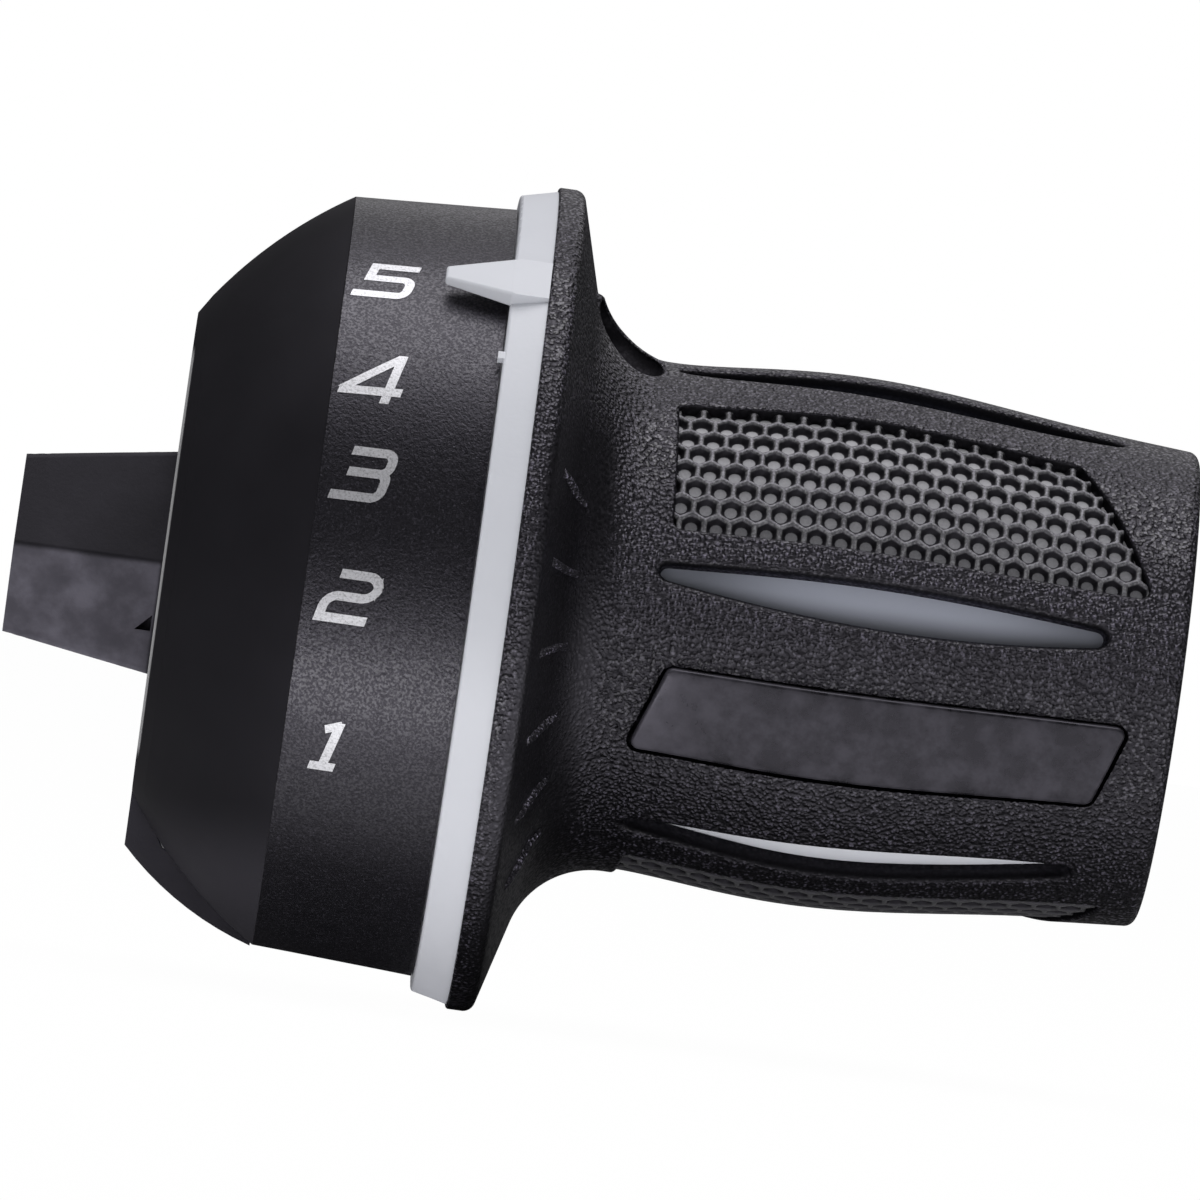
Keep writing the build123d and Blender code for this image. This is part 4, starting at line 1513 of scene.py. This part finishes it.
def add_camera():
    """Camera at the photograph's angle: level, square on, with the bar falling to the right."""
    data = bpy.data.cameras.new("camera")
    data.sensor_width = SENSOR_WIDTH
    data.lens = data.sensor_width * CAMERA_DISTANCE / (PHOTO_SIZE / PHOTO_SCALE)
    data.clip_end = CLIP_END
    camera = add_object("camera", data)
    spot = Vector((CAMERA_X, -CAMERA_DISTANCE, AIM_Z)) * MM
    ahead = (Vector((AIM_X, 0.0, AIM_Z)) * MM - spot).normalized()
    right = Vector((cos(radians(ROLL)), 0.0, sin(radians(ROLL))))
    right = (right - ahead * right.dot(ahead)).normalized()
    up = right.cross(ahead)
    turn = Matrix((right, up, -ahead)).transposed().to_4x4()
    camera.matrix_world = Matrix.Translation(spot) @ turn
    bpy.context.scene.camera = camera


def add_lamp(name, spot, aim, size, power, diffuse, glossy):
    """Rectangular lamp that the camera can't see."""
    data = bpy.data.lights.new(name, "AREA")
    data.color = LAMP_COLOUR
    data.shape = "RECTANGLE"
    data.size, data.size_y = size
    data.energy = power
    lamp = add_object(name, data)
    lamp.location = spot
    lamp.visible_camera = False
    lamp.visible_diffuse = diffuse
    lamp.visible_glossy = glossy
    lamp.rotation_euler = (Vector(aim) - Vector(spot)).to_track_quat("-Z", "Y").to_euler()


def ray(wire, kind):
    """1 for one kind of ray and 0 for the others."""
    return wire.add("ShaderNodeLightPath", None, None, out=f"Is {kind} Ray")


def floor_finish():
    """Pale floor that looks white to the camera and still keeps a soft shadow. In the part's mirror it is
    bright in front and dim elsewhere, a painted reflection.
    """
    material = bpy.data.materials.new("pale_floor")
    tree = bare_tree(material)
    wire = Wire(tree, None)
    matte = wire.add("ShaderNodeBsdfDiffuse", None, {"Color": FLOOR_PALE})
    dim = wire.add("ShaderNodeBsdfDiffuse", None, {"Color": FLOOR_DIM})
    glow = wire.add("ShaderNodeEmission", None, {"Color": WHITE, "Strength": 1.0})
    place = wire.add("ShaderNodeTexCoord", None, None, out="Object")
    front = fade(place, "Y", *FRONT_Y) * (1 - fade(place, "Y", *FRONT_FAR_Y) * FRONT_FAR_LOSS)
    front = front * fade(place, "X", *FRONT_X)
    mirrored = ray(wire, "Glossy")
    ground = wire.add("ShaderNodeMixShader", None, {0: mirrored * (1 - front), 1: matte, 2: dim})
    direct = ray(wire, "Camera") + ray(wire, "Transmission")
    share = direct * FLOOR_GLOW + mirrored * front * FLOOR_MIRROR
    whole = wire.add("ShaderNodeMixShader", None, {0: share, 1: ground, 2: glow})
    output = tree.nodes.new("ShaderNodeOutputMaterial")
    tree.links.new(whole.socket, output.inputs["Surface"])
    return material


def add_floor():
    """Large flat floor just below the part. Returns its height."""
    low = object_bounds()[0][2] - FLOOR_GAP * MM
    half = FLOOR_HALF
    mesh = bpy.data.meshes.new("floor")
    corners = [(-half, -half, low), (half, -half, low), (half, half, low), (-half, half, low)]
    mesh.from_pydata(corners, [], [(0, 1, 2, 3)])
    mesh.materials.append(floor_finish())
    floor = add_object("floor", mesh)
    floor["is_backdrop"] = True
    return low


def set_world():
    """Even light, white to the camera and dark in the mirror of the black plastic."""
    world = bpy.data.worlds.new("studio")
    bpy.context.scene.world = world
    tree = bare_tree(world)
    wire = Wire(tree, None)
    white, soft, room = (
        wire.add("ShaderNodeBackground", None, {"Color": colour, "Strength": strength})
        for colour, strength in (
            (WHITE, 1.0), (ROOM_COLOUR, ROOM_STRENGTH), (ROOM_COLOUR, ROOM_MIRROR_STRENGTH),
        )
    )
    light = wire.add("ShaderNodeMixShader", None, {0: ray(wire, "Glossy"), 1: soft, 2: room})
    direct = ray(wire, "Camera") + ray(wire, "Transmission")
    whole = wire.add("ShaderNodeMixShader", None, {0: direct, 1: light, 2: white})
    output = tree.nodes.new("ShaderNodeOutputWorld")
    tree.links.new(whole.socket, output.inputs["Surface"])


# Operators

class SHIFTER_OT_drum(bpy.types.Operator):
    """Finish the fixed drum, the base with its clamp, and the outlet stub"""

    bl_idname = "shifter.drum"
    bl_label = "Drum"

    def execute(self, context):
        give("housing_cover", drum_finish())
        give("housing_base", base_finish())
        return {"FINISHED"}


class SHIFTER_OT_numbers(bpy.types.Operator):
    """Print the gear numbers on the drum"""

    bl_idname = "shifter.numbers"
    bl_label = "Gear numbers"

    def execute(self, context):
        numbers = build_numbers()
        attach(numbers, FIXED_BODY)
        return {"FINISHED"}


class SHIFTER_OT_hardware(bpy.types.Operator):
    """Finish the bolt, nut, screws, spring and spool"""

    bl_idname = "shifter.hardware"
    bl_label = "Hardware"

    def execute(self, context):
        plated = steel_finish("fastener_steel", PLATED_STEEL)
        for node in ("clamp_bolt", "clamp_nut", "cover_screws"):
            give(node, plated)
        give("detent_spring", steel_finish("spring_steel", SPRING_STEEL))
        give("cable_spool", spool_finish())
        return {"FINISHED"}


class SHIFTER_OT_ring(bpy.types.Operator):
    """Finish the indicator ring, the pointer and the barrel"""

    bl_idname = "shifter.ring"
    bl_label = "Ring and barrel"

    def execute(self, context):
        give("grip_barrel", ring_finish())
        return {"FINISHED"}


class SHIFTER_OT_sleeve(bpy.types.Operator):
    """Build the rubber sleeve with its thumb ribs"""

    bl_idname = "shifter.sleeve"
    bl_label = "Rubber sleeve"

    def execute(self, context):
        sleeve = build_sleeve()
        ribs = build_ribs()
        for piece in (sleeve, ribs):
            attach(piece, TURNING_BODY)
        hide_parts("rubber_sleeve")
        return {"FINISHED"}


class SHIFTER_OT_pads(bpy.types.Operator):
    """Build the honeycomb nets of the pads"""

    bl_idname = "shifter.pads"
    bl_label = "Honeycomb pads"

    def execute(self, context):
        for number, net in enumerate(build_nets(), start=1):
            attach(net, TURNING_BODY)
            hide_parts(f"grip_pad_{number}")
        return {"FINISHED"}


class SHIFTER_OT_plate(bpy.types.Operator):
    """Build the bare raised plate"""

    bl_idname = "shifter.plate"
    bl_label = "Bare plate"

    def execute(self, context):
        plate = build_plate()
        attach(plate, TURNING_BODY)
        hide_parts("badge_plate")
        return {"FINISHED"}


class SHIFTER_OT_stage(bpy.types.Operator):
    """Set the floor, the light and the camera"""

    bl_idname = "shifter.stage"
    bl_label = "Stage"

    def execute(self, context):
        context.scene.view_settings.view_transform = "Standard"
        floor_z = add_floor()
        set_world()
        for name, spot, *light in LAMPS:
            add_lamp(name, spot, LAMP_AIM, *light)
        for name, (x, y, lift), *light in CARDS:
            add_lamp(name, (x, y, floor_z + lift), (x, y, floor_z + lift + 1.0), *light)
        add_camera()
        return {"FINISHED"}


OPERATORS = (
    SHIFTER_OT_drum,
    SHIFTER_OT_numbers,
    SHIFTER_OT_hardware,
    SHIFTER_OT_ring,
    SHIFTER_OT_sleeve,
    SHIFTER_OT_pads,
    SHIFTER_OT_plate,
    SHIFTER_OT_stage,
)


class SHIFTER_PT_panel(bpy.types.Panel):
    """Lists the steps and the settings of the shifter"""

    bl_idname = "SHIFTER_PT_panel"
    bl_label = "Twist grip shifter"
    bl_space_type = "VIEW_3D"
    bl_region_type = "UI"
    bl_category = "Shifter"

    def draw(self, context):
        for group in (context.scene.shifter_sizes, context.scene.shifter_colours):
            box = self.layout.box()
            for name in group.__annotations__:
                box.prop(group, name)
        for operator in OPERATORS:
            self.layout.operator(operator.bl_idname)


CLASSES = (ShifterSizes, ShifterColours) + OPERATORS + (SHIFTER_PT_panel,)


def register():
    for made in CLASSES:
        bpy.utils.register_class(made)
    bpy.types.Scene.shifter_sizes = PointerProperty(type=ShifterSizes)
    bpy.types.Scene.shifter_colours = PointerProperty(type=ShifterColours)


def unregister():
    del bpy.types.Scene.shifter_colours
    del bpy.types.Scene.shifter_sizes
    for made in reversed(CLASSES):
        bpy.utils.unregister_class(made)


def main():
    register()
    for step in ("drum", "numbers", "hardware", "ring", "sleeve", "pads", "plate", "stage"):
        getattr(bpy.ops.shifter, step)()


if __name__ == "__main__":
    main()
